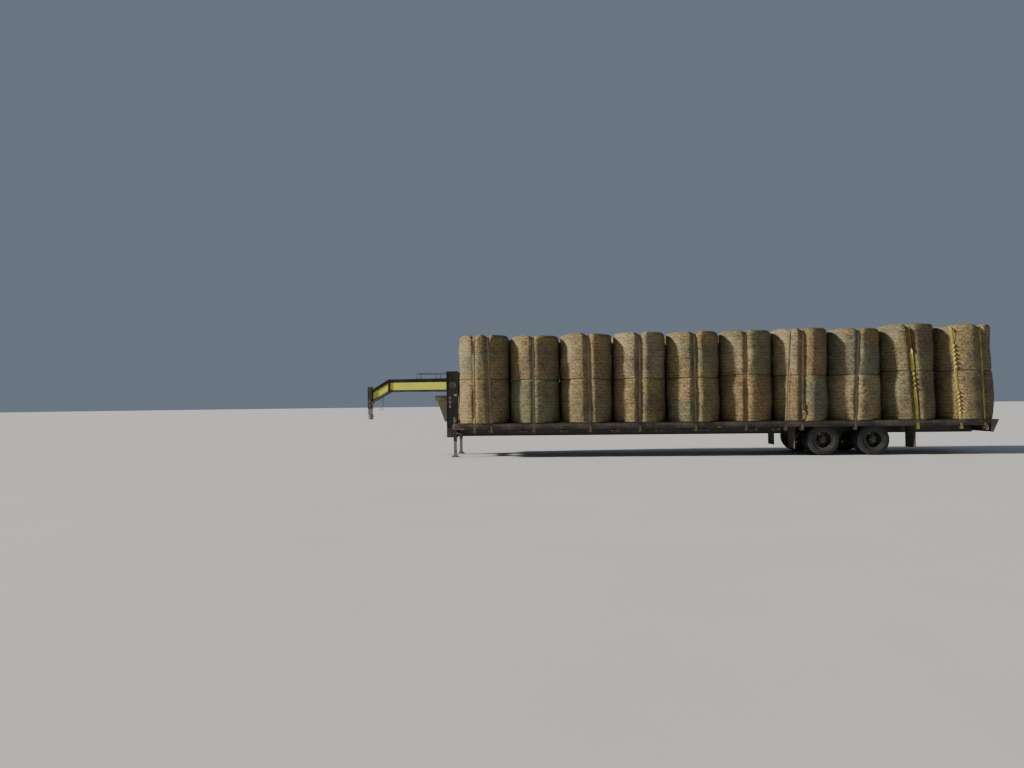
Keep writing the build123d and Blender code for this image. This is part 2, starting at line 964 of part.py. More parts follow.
def leaf_spring(x):
    """A pack of leaves over an axle, each shorter than the one above it."""
    top = spring_base() + leaf_count * leaf_thickness
    radius = leaf_radius()
    centre = top + radius
    pack = None
    for i in range(leaf_count):
        inner = radius + i * leaf_thickness
        outer = inner + leaf_thickness
        reach = leaf_half_length - i * leaf_step
        inner_z = centre - math.sqrt(inner**2 - reach**2)
        outer_z = centre - math.sqrt(outer**2 - reach**2)
        edges = [
            ThreePointArc((-reach, inner_z), (0, centre - inner), (reach, inner_z)),
            Line((reach, inner_z), (reach, outer_z)),
            ThreePointArc((reach, outer_z), (0, centre - outer), (-reach, outer_z)),
            Line((-reach, outer_z), (-reach, inner_z)),
        ]
        face = Plane.XZ * make_face(edges)
        leaf = extrude(face, amount=leaf_width, dir=(0, 1, 0))
        pack = leaf if pack is None else pack + leaf
    return Pos(x, beam_offset - leaf_width / 2, 0) * pack


def leaf_springs():
    """Both springs of each side."""
    springs = []
    for x in (axle_front_position, axle_rear_position):
        springs += both_sides(leaf_spring(x))
    return springs


def leaf_end_height():
    """The height of the top of a main leaf at its end."""
    return spring_base() + leaf_count * leaf_thickness + leaf_camber


def hanger(x, carries_spring):
    """A hanger under the main beam; the end hangers carry a pad over the leaf's end."""
    y = beam_offset
    low = beam_bottom - hanger_height
    outline = [
        (x - hanger_top_length / 2, beam_bottom),
        (x + hanger_top_length / 2, beam_bottom),
        (x + hanger_bottom_length / 2, low),
        (x - hanger_bottom_length / 2, low),
    ]
    inner = leaf_width / 2 + leaf_side_gap
    hanger_body = side_prism(outline, y + inner, y + inner + hanger_plate)
    hanger_body = hanger_body + side_prism(outline, y - inner - hanger_plate, y - inner)
    top_plate = block(
        x - hanger_top_length / 2,
        x + hanger_top_length / 2,
        y - inner,
        y + inner,
        beam_bottom - hanger_pad_drop,
        beam_bottom,
    )
    hanger_body = hanger_body + top_plate
    if carries_spring:
        pad = block(
            x - hanger_pad_length / 2,
            x + hanger_pad_length / 2,
            y - inner,
            y + inner,
            leaf_end_height() + fit_clearance,
            beam_bottom - hanger_pad_drop,
        )
        keeper = cross_cylinder(
            hanger_pin_radius,
            x,
            leaf_end_height() - leaf_thickness - hanger_pin_radius - hanger_keeper_gap,
            y - inner,
            y + inner,
        )
        return hanger_body + pad + keeper
    pin = cross_cylinder(hanger_pin_radius, x, rocker_height(), y - inner, y + inner)
    return hanger_body + pin


def rocker_height():
    """The height of the pin of the equalizing rocker."""
    return leaf_end_height() - leaf_thickness - rocker_boss_radius


def rocker_middle():
    """The place of the rocker between the two axles."""
    return (axle_front_position + axle_rear_position) / 2


def spring_hangers():
    """Front, middle and rear hangers on each side."""
    reach = leaf_half_length - hanger_inset
    hangers = []
    hangers += both_sides(hanger(axle_front_position - reach, True))
    hangers += both_sides(hanger(rocker_middle(), False))
    hangers += both_sides(hanger(axle_rear_position + reach, True))
    return hangers


def equalizers():
    """The rockers between front and rear springs, their arms bearing on the leaf ends."""
    x = rocker_middle()
    z = rocker_height()
    arm = axle_spacing / 2 - leaf_half_length + rocker_pad - 10
    low = leaf_end_height() + fit_clearance
    high = min(low + rocker_thickness, beam_bottom - 6)
    neck = arm - rocker_pad
    outline = [
        (x - arm, low),
        (x - arm, high),
        (x + arm, high),
        (x + arm, low),
        (x + neck, low),
        (x + rocker_boss_radius * 0.8, z),
        (x - rocker_boss_radius * 0.8, z),
        (x - neck, low),
    ]
    y = beam_offset
    half = leaf_width / 2
    rocker = side_prism(outline, y - half, y + half)
    rocker = rocker + cross_cylinder(rocker_boss_radius, x, z, y - half, y + half)
    bore = cross_cylinder(hanger_pin_radius + fit_clearance, x, z, y - half - 1, y + half + 1)
    return both_sides(rocker - bore)


def axle_clamp(x):
    """Spring seat, top plate, bottom plate and U-bolts that hold an axle to its spring."""
    y = beam_offset
    half = leaf_width / 2
    side = half + 1 + u_bolt_radius
    bolt_x = axle_radius + u_bolt_radius + 1
    plate_half = bolt_x + u_bolt_radius + clamp_margin
    top = spring_base() + leaf_count * leaf_thickness + leaf_rise(plate_half)
    low = axle_height - axle_radius - fit_clearance - clamp_plate
    seat = block(x - plate_half, x + plate_half, y - half, y + half, axle_height, spring_base())
    saddle = cross_cylinder(axle_radius + fit_clearance, x, axle_height, y - half - 1, y + half + 1)
    seat = seat - saddle
    reach = side + u_bolt_radius + clamp_margin
    clamp = block(x - plate_half, x + plate_half, y - reach, y + reach, top, top + clamp_plate)
    clamp = clamp + block(
        x - plate_half, x + plate_half, y - reach, y + reach, low, low + clamp_plate
    )
    length = top + clamp_plate - low
    for dx in (-1, 1):
        for dy in (-1, 1):
            leg = Cylinder(u_bolt_radius, length)
            clamp = clamp + Pos(x + dx * bolt_x, y + dy * side, low + length / 2) * leg
    return clamp, seat


def leaf_rise(distance):
    """How far the top of the main leaf has risen at a distance from its middle."""
    radius = leaf_radius()
    return radius - math.sqrt(radius**2 - distance**2)


def axle_clamps():
    """The clamps and seats of every spring."""
    pieces = []
    for x in (axle_front_position, axle_rear_position):
        for piece in axle_clamp(x):
            pieces += both_sides(piece)
    return pieces


def bumper_outline(inset):
    """The side outline of the rear bumper, leaning forward towards its foot."""
    slope = bumper_foot_setback / bumper_depth
    lean = inset * math.sqrt(1 + slope * slope)
    top = deck_height - inset
    rear_top = bumper_rear - lean + slope * -inset
    bottom = deck_height - bumper_depth
    return [
        (deck_length, top),
        (rear_top, top),
        (rear_top - slope * (top - bottom), bottom),
        (deck_length, bottom),
    ]


def lamp_plane(y, drop):
    """The plane of the bumper's rear face at a height below the deck."""
    slope = bumper_foot_setback / bumper_depth
    origin = (bumper_rear - slope * drop, y, deck_height - drop)
    normal = Vector(1, 0, -slope).normalized()
    return Plane(origin=origin, x_dir=(0, 1, 0), z_dir=normal)


def lamp_places():
    """Lamp centres on the bumper, each with its radius."""
    places = []
    for i in range(3):
        y = half_width - lamp_first - i * lamp_pitch
        places.append((y, lamp_radius))
        places.append((-y, lamp_radius))
    for i in (-1, 0, 1):
        places.append((i * small_lamp_pitch, small_lamp_radius))
    return places


def rear_bumper():
    """The folded rear bumper: top, leaning rear plate, end plates and holes for lamps."""
    outer = side_prism(bumper_outline(0), -half_width, half_width)
    inner = side_prism(
        bumper_outline(bumper_plate), -half_width + bumper_plate, half_width - bumper_plate
    )
    below = block(
        deck_length - 1,
        bumper_rear,
        -half_width + bumper_plate,
        half_width - bumper_plate,
        deck_height - bumper_depth - 1,
        deck_height - bumper_depth + bumper_plate,
    )
    shell = outer - inner - below
    drop = bumper_depth / 2
    for y, radius in lamp_places():
        hole = lamp_plane(y, drop) * Cylinder(radius + fit_clearance, 4 * bumper_plate)
        shell = shell - hole
    return shell


def rear_header():
    """The channel across the tail of the deck, on the ends of the main beams."""
    start = deck_length - header_flange
    width = rail_inner_edge
    whole = block(start, deck_length, -width, width, rail_bottom, plank_underside)
    hollow = block(
        start + rail_wall,
        deck_length + 1,
        -width - 1,
        width + 1,
        rail_bottom + rail_wall,
        plank_underside - rail_wall,
    )
    return whole - hollow


def lamps():
    """Tail lamps in the bumper and marker lamps under the rub rails."""
    drop = bumper_depth / 2
    pieces = []
    for y, radius in lamp_places():
        plane = lamp_plane(y, drop)
        lens = plane * (Pos(0, 0, 0) * Cylinder(radius, lamp_thickness))
        rim = plane * (Pos(0, 0, lamp_flange / 2) * Cylinder(radius + 5, lamp_flange))
        pieces.append(lens + rim)
    z = deck_height - rail_height + marker_height
    for share in (0.012, 0.5, 0.985):
        x = deck_length * share
        marker = block(
            x - marker_length / 2,
            x + marker_length / 2,
            rail_outer,
            rail_outer + marker_depth,
            z - marker_height / 2,
            z + marker_height / 2,
        )
        pieces += both_sides(marker)
    return pieces


def mud_flap(x, top):
    """The right-hand flap with its rear face at x."""
    outer = rail_inner_edge - flap_side_gap
    return block(x - flap_thickness, x, outer - flap_width, outer, flap_ground_clearance, top)


def mud_flaps():
    """Flaps behind the rear wheels on a crossmember, and ahead of the front ones on a bar."""
    wanted = axle_rear_position + flap_behind_axle
    rear = min((place for place in crossmember_places() if place >= wanted), default=wanted)
    rear_flap = mud_flap(rear, crossmember_top - crossmember_height + flap_overlap)
    front_flap = mud_flap(front_flap_place, plank_underside - fit_clearance)
    return both_sides(rear_flap) + both_sides(front_flap)


def bale_layout():
    """Each column of bales: centre, lower radius, upper radius and the two heights."""
    columns = []
    edge = bale_front_gap
    count = round(deck_length / bale_diameter)
    for i in range(count):
        lower, upper, lower_height, upper_height = bale_columns[i % len(bale_columns)]
        lower_radius = (bale_diameter + lower) / 2
        upper_radius = (bale_diameter + upper) / 2
        centre = edge + lower_radius
        columns.append(
            (
                centre,
                lower_radius,
                upper_radius,
                bale_height + lower_height,
                bale_height + upper_height,
            )
        )
        edge = centre + lower_radius + bale_gap
    return columns


def bale(radius, height, foot, shoulder):
    """A round bale on its end: flat ends, rounded corners and upright sides."""
    cut = math.sqrt(0.5)
    edges = [
        Line((0, 0), (radius - foot, 0)),
        ThreePointArc(
            (radius - foot, 0), (radius - foot + foot * cut, foot - foot * cut), (radius, foot)
        ),
        Line((radius, foot), (radius, height - shoulder)),
        ThreePointArc(
            (radius, height - shoulder),
            (radius - shoulder + shoulder * cut, height - shoulder + shoulder * cut),
            (radius - shoulder, height),
        ),
        Line((radius - shoulder, height), (0, height)),
        Line((0, height), (0, 0)),
    ]
    face = Plane.XZ * make_face(edges)
    return revolve(face, axis=Axis.Z)


def strap_half_height(column):
    """The height of the strap's underside over the deck, on top of a column."""
    centre, lower_radius, upper_radius, lower_height, upper_height = column
    return lower_height + upper_height - strap_sink


def strap_face(half, top, low):
    """An inverted U in the plane of a strap, filled, with round upper corners."""
    corner = min(strap_corner, half / 2)
    cut = corner * (1 - math.sqrt(0.5))
    edges = [
        Line((-half, low), (half, low)),
        Line((half, low), (half, top - corner)),
        ThreePointArc((half, top - corner), (half - cut, top - cut), (half - corner, top)),
        Line((half - corner, top), (-half + corner, top)),
        ThreePointArc((-half + corner, top), (-half + cut, top - cut), (-half, top - corner)),
        Line((-half, top - corner), (-half, low)),
    ]
    return Plane.YZ * make_face(edges)


def strap_slab(half, top, low, width):
    """The space inside a strap's line, as thick as the given width along the wagon."""
    slab = extrude(strap_face(half, top, low), amount=width, dir=(1, 0, 0))
    return Pos(-width / 2, 0, 0) * slab


def strap_frame(column, bottom_offset, top_offset):
    """The place and lean of a strap: it stands at the deck and leans along the wagon."""
    centre, lower_radius, upper_radius, lower_height, upper_height = column
    lean = math.degrees(math.atan2(top_offset - bottom_offset, lower_height + upper_height))
    return Pos(centre + bottom_offset, 0, deck_height) * Rot(0, lean, 0)


def strap_low_end():
    """How far below the deck a strap runs onto its winch spool."""
    return rail_height + winch_height / 2


def load_straps(columns):
    """Webbing straps from winch to winch over the load."""
    bands = []
    for number, bottom_offset, top_offset in straps:
        if number >= len(columns):
            continue
        top = strap_half_height(columns[number]) + fit_clearance
        inner_half = strap_line + fit_clearance
        low = -strap_low_end()
        outer = strap_slab(
            inner_half + strap_thickness, top + strap_thickness, low, strap_width
        )
        inner = strap_slab(inner_half, top, low - 1, strap_width + 2)
        bands.append(strap_frame(columns[number], bottom_offset, top_offset) * (outer - inner))
    return bands


def crease_cutter(column, bottom_offset, top_offset):
    """What a strap presses out of the bales: a flat floor under it and flaring sides."""
    top = strap_half_height(column)
    floor = strap_width / 2 + crease_side_gap
    reach = floor + crease_flare
    room = half_width * 1.5
    low = -crease_run_out - 1
    around = block(-reach, reach, -room, room, -crease_run_out, top + bale_height)
    solid = around - strap_slab(strap_line, top, low, 2 * floor)
    near = Pos(floor, 0, 0) * strap_face(strap_line, top, low)
    spread = math.degrees(math.atan2(crease_rise, crease_flare))
    flare = extrude(near, amount=crease_flare, dir=(1, 0, 0), taper=-spread)
    solid = solid - flare - mirror(flare, about=Plane.YZ)
    return strap_frame(column, bottom_offset, top_offset) * solid


def bales(columns, upper):
    """One layer of bales in two rows, creased by the straps."""
    layer = []
    for number, column in enumerate(columns):
        centre, lower_radius, upper_radius, lower_height, upper_height = column
        row = lower_radius + bale_gap / 2
        radius = upper_radius if upper else lower_radius
        height = upper_height if upper else lower_height
        base = deck_height + (lower_height if upper else 0)
        shoulder = bale_shoulder if upper else bale_foot
        round_bale = Pos(centre, row, base) * bale(radius, height, bale_foot, shoulder)
        for strap_number, bottom_offset, top_offset in straps:
            if strap_number == number:
                round_bale = round_bale - crease_cutter(column, bottom_offset, top_offset)
        solid = max(round_bale.solids(), key=lambda piece: piece.volume)
        layer += both_sides(solid)
    return layer


def winch(x, half):
    """A right-hand strap winch under the rail: two cheeks, a back plate and a spool."""
    spool_y = strap_line - winch_spool_radius
    inner_y = spool_y - winch_depth / 2
    outer_y = spool_y + winch_depth / 2
    low = rail_bottom - winch_height
    spool = Rot(0, 90, 0) * Cylinder(winch_spool_radius, 2 * half + 2)
    body = Pos(x, spool_y, rail_bottom - winch_height / 2) * spool
    for start, end in ((x - half - winch_plate, x - half), (x + half, x + half + winch_plate)):
        body = body + block(start, end, inner_y, outer_y, low, rail_bottom)
    return body + block(x - half, x + half, inner_y, inner_y + winch_plate, low, rail_bottom)


def winches(columns):
    """The right-hand winches: one at each strap, and wider idle ones between them."""
    pieces = []
    for number, bottom_offset, top_offset in straps:
        if number < len(columns):
            column = columns[number]
            lean = (top_offset - bottom_offset) / (column[3] + column[4])
            x = column[0] + bottom_offset - lean * strap_low_end()
            pieces.append(winch(x, strap_width / 2 + winch_side_gap))
    for x in idle_winches:
        if x < deck_length - idle_winch_width:
            pieces.append(winch(x, idle_winch_width / 2))
    return pieces


def build():
    """Every node's name with its solids."""
    columns = bale_layout()
    beams = both_sides(neck_beam())
    nodes = {
        "crossmembers_front": full_crossmembers(False),
        "crossmembers_middle": middle_crossmembers(),
        "crossmembers_rear": full_crossmembers(True),
        "wheel_outriggers": outriggers(),
        "front_header": front_header(),
        "rear_header": rear_header(),
        "rear_bumper": rear_bumper(),
        "deck_planks": deck_planks(),
        "riser_cross_members": riser_cross_members(),
        "neck_beam_left": beams[0],
        "neck_beam_right": beams[1],
        "neck_ties": neck_ties(beams),
        "coupler_outer": coupler_outer(),
        "coupler_inner": coupler_inner(),
        "chain_tray": chain_tray(),
        "tool_box": tool_box() + lid_hinge_stand(),
        "tool_box_lid": tool_box_lid(),
        "jack_bodies": jack_bodies(),
        "jack_legs": jack_legs(),
        "jack_drive": jack_drive(),
        "axle_front": axle(axle_front_position),
        "axle_rear": axle(axle_rear_position),
        "leaf_springs": leaf_springs(),
        "spring_hangers": spring_hangers(),
        "equalizers": equalizers(),
        "axle_clamps": axle_clamps(),
        "mud_flaps": mud_flaps(),
        "lamps": lamps(),
        "load_straps": load_straps(columns),
        "bales_lower": bales(columns, False),
        "bales_upper": bales(columns, True),
    }
    stations = (("front", axle_front_position), ("rear", axle_rear_position))
    for side in ("left", "right"):
        nodes[f"main_beam_{side}"] = on_side(main_beam(), side)
        nodes[f"side_rail_{side}"] = on_side(side_rail(), side)
        nodes[f"rub_rail_{side}"] = on_side(rub_rail(), side)
        nodes[f"stake_pockets_{side}"] = [on_side(p, side) for p in stake_pockets()]
        nodes[f"riser_{side}"] = on_side(riser(), side)
        nodes[f"winches_{side}"] = [on_side(w, side) for w in winches(columns)]
        for station, x in stations:
            nodes[f"hub_rims_{station}_{side}"] = on_side(hub_and_rims(x), side)
            nodes[f"tyres_{station}_{side}"] = [on_side(t, side) for t in tyres(x)]
    return nodes


def solids_of(shape):
    """All solids of a shape or of a list of shapes."""
    if isinstance(shape, (list, tuple)):
        return [solid for piece in shape for solid in solids_of(piece)]
    return list(shape.solids())


def middle_of_wagon(nodes):
    """Halfway between the foremost and the rearmost point of the wagon."""
    boxes = [solid.bounding_box() for shape in nodes.values() for solid in solids_of(shape)]
    return (min(box.min.X for box in boxes) + max(box.max.X for box in boxes)) / 2


def main():
    """Write one file for each node."""
    os.makedirs("parts", exist_ok=True)
    nodes = build()
    shift = Pos(-middle_of_wagon(nodes), 0, 0)
    for name, shape in nodes.items():
        moved = [shift * solid for solid in solids_of(shape)]
        export_step(Compound(children=moved), f"parts/{name}.step")
    print(f"moved by {shift.position.X:.3f} mm")


main()
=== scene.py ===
"""Looks of a gooseneck hay wagon and its strapped load of round bales.

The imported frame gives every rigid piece. This script gives them paint, dust, rust and rubber,
and adds what a quick stand-in lacks: netted bales, webbing, tyre tread, nuts, chains and trim.
Sizes are in metres. The coupler is at -X, the near side is -Y and the ground is Z = 0.
"""

import logging
import math
from collections.abc import Iterable, Sequence
from dataclasses import dataclass, field
from enum import Enum

import bmesh
import bpy
import numpy as np
from mathutils import Matrix, Vector

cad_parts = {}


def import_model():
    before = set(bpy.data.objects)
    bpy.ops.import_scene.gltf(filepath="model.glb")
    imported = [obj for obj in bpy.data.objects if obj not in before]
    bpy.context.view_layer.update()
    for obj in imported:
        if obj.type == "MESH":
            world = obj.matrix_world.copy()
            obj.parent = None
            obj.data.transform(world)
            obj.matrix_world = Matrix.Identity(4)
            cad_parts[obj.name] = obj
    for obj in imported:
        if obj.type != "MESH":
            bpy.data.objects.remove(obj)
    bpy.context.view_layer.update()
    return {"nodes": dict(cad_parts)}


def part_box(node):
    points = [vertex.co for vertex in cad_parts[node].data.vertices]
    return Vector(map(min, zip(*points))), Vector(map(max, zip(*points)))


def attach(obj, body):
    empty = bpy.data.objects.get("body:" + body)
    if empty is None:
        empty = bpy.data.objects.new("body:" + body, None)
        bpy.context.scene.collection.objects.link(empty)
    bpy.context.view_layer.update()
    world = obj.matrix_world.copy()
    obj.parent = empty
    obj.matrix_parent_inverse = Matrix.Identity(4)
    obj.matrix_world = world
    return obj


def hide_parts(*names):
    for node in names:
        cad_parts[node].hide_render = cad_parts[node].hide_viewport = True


LOG = logging.getLogger("hay_wagon")
Colour = tuple[float, float, float]
Point = tuple[float, float, float]
Section = Sequence[tuple[float, float]]
Socket = bpy.types.NodeSocket
Node = bpy.types.Node
Material = bpy.types.Material
Mesh = bpy.types.Mesh
Shape = bmesh.types.BMesh
Chance = np.random.Generator

TURN = 2 * math.pi
NET_PITCH = 0.085
BOARD_COUNT = 13
BOARD_EDGE = 1.196
BOARD_PITCH = 2 * BOARD_EDGE / BOARD_COUNT
TINT, WRAP, WEAVE = "tint", "wrap", "weave"


class Side(Enum):
    """The near (left-hand) and far (right-hand) side of the wagon."""

    NEAR = -1
    FAR = 1


class Layer(Enum):
    """The two layers of bales."""

    LOWER = "lower"
    UPPER = "upper"


class HayTone(Enum):
    """Colours of cured hay, from bright straw to green."""

    PALE = (0.62, 0.50, 0.25)
    GOLDEN = (0.50, 0.37, 0.14)
    TAN = (0.40, 0.30, 0.15)
    ORANGE = (0.47, 0.30, 0.12)
    BROWN = (0.28, 0.19, 0.10)
    OLIVE = (0.33, 0.30, 0.13)
    GREEN = (0.34, 0.37, 0.18)
    BLUE_GREEN = (0.30, 0.31, 0.18)


class WebTone(Enum):
    """Colours of the webbing straps."""

    GREY = (0.33, 0.27, 0.16)
    TAN = (0.50, 0.33, 0.16)
    ORANGE = (0.42, 0.17, 0.05)
    YELLOW = (0.63, 0.56, 0.08)
    LIME = (0.42, 0.40, 0.08)


# Node helpers


class Wires:
    """Adds nodes to one node tree and joins them."""

    def __init__(self, tree: bpy.types.NodeTree) -> None:
        """Keeps the tree that nodes go into."""
        self.tree = tree

    def add(self, kind: str, feeds: dict | None = None, **settings: object) -> Node:
        """Adds a shader node.

        Args:
            kind: The node's type without its "ShaderNode" start.
            feeds: Values or sockets for the node's inputs, by name or number.
            settings: Properties of the node.

        Returns:
            The new node.
        """
        node = self.tree.nodes.new("ShaderNode" + kind)
        for name, value in settings.items():
            setattr(node, name, value)
        self.feed(node, feeds or {})
        return node

    def feed(self, node: Node, feeds: dict) -> None:
        """Links sockets to a node's inputs, or sets the inputs' own values.

        Args:
            node: The node.
            feeds: A socket or a value for each input.
        """
        for name, value in feeds.items():
            target = node.inputs[name]
            if isinstance(value, Socket):
                self.tree.links.new(value, target)
            elif target.type == "RGBA" and len(value) == 3:
                target.default_value = (*value, 1.0)
            else:
                target.default_value = value

    def maths(self, operation: str, a: object, b: object = 0.0, clamp: bool = False) -> Socket:
        """One Math node's result."""
        return self.add("Math", {0: a, 1: b}, operation=operation, use_clamp=clamp).outputs[0]

    def plus(self, a: object, b: object, clamp: bool = False) -> Socket:
        """The sum of two values."""
        return self.maths("ADD", a, b, clamp)

    def times(self, a: object, b: object, clamp: bool = False) -> Socket:
        """The product of two values."""
        return self.maths("MULTIPLY", a, b, clamp)

    def mix(self, share: object, a: object, b: object, blend: str = "MIX") -> Socket:
        """A mix of two colours."""
        return self.add("Mix", {0: share, 6: a, 7: b}, data_type="RGBA", blend_type=blend).outputs[2]

    def between(self, value: Socket, low: float, high: float, a: float = 0, b: float = 1) -> Socket:
        """A value mapped smoothly from low..high to a..b."""
        feeds = {"Value": value, "From Min": low, "From Max": high, "To Min": a, "To Max": b}
        return self.add("MapRange", feeds, interpolation_type="SMOOTHSTEP").outputs["Result"]

    def noise(
        self, place: Socket, scale: object, detail: float = 4.0, stretch: Point = (1.0, 1.0, 1.0),
        turn: float = 0.0, warp: float = 0.0,
    ) -> Socket:
        """Noise on a place, stretched and turned.

        Args:
            place: The coordinates.
            scale: Features per metre.
            detail: Octaves.
            stretch: Factors on the three coordinates.
            turn: An angle about the third axis, in degrees.
            warp: The noise's own distortion.

        Returns:
            The noise's value, around a half.
        """
        feeds = {"Vector": place, "Scale": stretch, "Rotation": (0.0, 0.0, math.radians(turn))}
        mapped = self.add("Mapping", feeds, vector_type="POINT").outputs[0]
        feeds = {"Vector": mapped, "Scale": scale, "Detail": detail, "Distortion": warp}
        return self.add("TexNoise", feeds).outputs["Fac"]

    def object_place(self) -> Socket:
        """The place on the object, in metres."""
        return self.add("TexCoord").outputs["Object"]

    def tint(self) -> Socket:
        """The colour that the mesh has at each of its points."""
        return self.add("Attribute", attribute_name=TINT).outputs["Color"]

    def bump(self, height: Socket, depth: float, strength: float) -> Socket:
        """The normal that a height gives."""
        feeds = {"Height": height, "Distance": depth, "Strength": strength}
        return self.add("Bump", feeds).outputs[0]


def new_group(name: str, takes: dict[str, object], gives: dict[str, str]) -> tuple[Wires, dict, Node]:
    """Starts a shader node group.

    Args:
        name: The group's name.
        takes: Each input's default by its name: a number, a colour of four values or a place of three.
        gives: Each output's socket type by its name.

    Returns:
        The group's wires, its input sockets by name and its output node.
    """
    tree = bpy.data.node_groups.new(name, "ShaderNodeTree")
    for label, default in takes.items():
        kind = "Float" if isinstance(default, float) else {3: "Vector", 4: "Color"}[len(default)]
        socket = tree.interface.new_socket(label, in_out="INPUT", socket_type="NodeSocket" + kind)
        socket.default_value = default
    for label, kind in gives.items():
        tree.interface.new_socket(label, in_out="OUTPUT", socket_type="NodeSocket" + kind)
    start = tree.nodes.new("NodeGroupInput")
    given = {label: start.outputs[label] for label in takes}
    return Wires(tree), given, tree.nodes.new("NodeGroupOutput")


class Effects:
    """The node groups that several finishes share."""

    def __init__(self) -> None:
        """Builds each group once."""
        self.weather = self.build_weather()
        self.fibre = self.build_fibre()

    @staticmethod
    def build_weather() -> bpy.types.NodeTree:
        """Road dust, drips, chips and rust over a painted or bare surface.

        Returns:
            The group, which gives a colour, a roughness and a height.
        """
        takes = {
            "Base": (0.02, 0.02, 0.02, 1), "Dust Colour": (0.2, 0.16, 0.12, 1),
            "Rust Colour": (0.16, 0.06, 0.025, 1), "Dust": 0.5, "Rust": 0.3, "Gloss": 0.4, "Grain": 60.0,
        }
        gives = {"Colour": "Color", "Roughness": "Float", "Height": "Float"}
        w, given, end = new_group("road weather", takes, gives)
        place = w.object_place()
        patches = w.noise(place, 2.2, 6.0, warp=0.4)
        specks = w.noise(place, given["Grain"], 3.0)
        drips = w.noise(place, 1.0, 5.0, stretch=(22.0, 22.0, 2.0))
        up = w.add("SeparateXYZ", {0: w.add("NewGeometry").outputs["Normal"]}).outputs["Z"]
        settled = w.between(up, 0.2, 0.95, 0.0, 0.55)
        height = w.add("SeparateXYZ", {0: place}).outputs["Z"]
        thrown = w.between(height, 1.5, 0.25, 0.0, 0.35)
        cloud = w.between(patches, 0.36, 0.66, 0.0, 0.55)
        streak = w.between(drips, 0.5, 0.72, 0.0, 0.4)
        total = w.plus(w.plus(settled, thrown), w.plus(cloud, streak))
        grainy = w.times(total, w.between(specks, 0.3, 0.7, 0.65, 1.2))
        dust = w.times(grainy, given["Dust"], clamp=True)
        chips = w.noise(place, 17.0, 8.0, warp=0.3)
        seep = w.plus(chips, w.between(drips, 0.45, 0.8, 0.0, 0.12))
        reach = w.maths("SUBTRACT", 0.86, w.times(given["Rust"], 0.3))
        rust = w.between(w.maths("SUBTRACT", seep, reach), 0.0, 0.05)
        faded = w.mix(w.between(patches, 0.3, 0.7, 0.0, 0.35), given["Base"], (0.09, 0.085, 0.08))
        rusted = w.mix(rust, w.mix(0.75, faded, given["Base"]), given["Rust Colour"])
        shine = w.plus(given["Gloss"], w.times(dust, 0.5))
        bumps = w.plus(w.times(specks, 0.35), w.times(rust, 0.4))
        w.feed(end, {
            "Colour": w.mix(dust, rusted, given["Dust Colour"]),
            "Roughness": w.plus(shine, w.times(rust, 0.35), clamp=True),
            "Height": w.plus(bumps, w.times(dust, 0.5)),
        })
        return w.tree

    @staticmethod
    def build_fibre() -> bpy.types.NodeTree:
        """Wound straw: long strands that cross at small angles, with gaps and bright ends.

        Returns:
            The group, which gives light strands, dark gaps, a mottle and a height.
        """
        gives = {"Strands": "Float", "Gaps": "Float", "Mottle": "Float", "Height": "Float"}
        w, given, end = new_group("wound straw", {"Place": (0, 0, 0)}, gives)
        place = given["Place"]
        level = w.noise(place, 1.0, 3.0, stretch=(9.0, 150.0, 40.0), warp=0.8)
        rising, falling = (
            w.noise(place, 1.0, 3.0, stretch=(14.0, 120.0, 40.0), turn=turn, warp=0.6) for turn in (24, -31)
        )
        clumps = w.noise(place, 1.0, 5.0, stretch=(21.0, 42.0, 28.0), warp=1.4)
        broad = w.noise(place, 1.0, 3.0, stretch=(2.2, 5.0, 4.0))
        crossed = w.maths("MAXIMUM", level, w.maths("MAXIMUM", rising, falling))
        strands = w.between(crossed, 0.5, 0.72)
        spread = w.plus(w.times(clumps, 0.65), w.times(broad, 0.35))
        w.feed(end, {
            "Strands": strands,
            "Gaps": w.times(w.between(clumps, 0.5, 0.36), w.between(crossed, 0.66, 0.5)),
            "Mottle": w.between(spread, 0.36, 0.64),
            "Height": w.plus(w.times(strands, 0.5), w.times(clumps, 0.9)),
        })
        return w.tree


# Finishes


@dataclass(frozen=True)
class Finish:
    """What every finish shares: a name and the way to its material."""

    name: str

    def surface(self, w: Wires, effects: Effects) -> dict[str, object]:
        """What the finish feeds to its shader, by the shader's input names."""
        raise NotImplementedError

    def make(self, effects: Effects) -> Material:
        """Builds the material from its surface.

        Args:
            effects: The shared node groups.

        Returns:
            The material.
        """
        material = bpy.data.materials.new(self.name)
        material.use_nodes = True
        w = Wires(material.node_tree)
        w.feed(material.node_tree.nodes["Principled BSDF"], self.surface(w, effects))
        return material


@dataclass(frozen=True)
class Weathered(Finish):
    """Painted, bare or rubber surface under road dust."""

    base: Colour
    dust_colour: Colour = (0.20, 0.155, 0.115)
    rust_colour: Colour = (0.15, 0.055, 0.022)
    dust: float = 0.5
    rust: float = 0.3
    gloss: float = 0.38
    grain: float = 60.0
    metal: float = 0.0
    relief: float = 0.0012
    coat: float = 0.0

    def surface(self, w: Wires, effects: Effects) -> dict[str, object]:
        """The shared weather group with this finish's values.

        Args:
            w: The material's wires.
            effects: The shared node groups.

        Returns:
            The shader's inputs.
        """
        feeds = {
            "Base": self.base, "Dust Colour": self.dust_colour, "Rust Colour": self.rust_colour,
            "Dust": self.dust, "Rust": self.rust, "Gloss": self.gloss, "Grain": self.grain,
        }
        weather = w.add("Group", feeds, node_tree=effects.weather)
        return {
            "Base Color": weather.outputs["Colour"],
            "Roughness": weather.outputs["Roughness"],
            "Metallic": self.metal,
            "Coat Weight": self.coat,
            "Coat Roughness": 0.25,
            "Normal": w.bump(weather.outputs["Height"], self.relief, 0.6),
        }


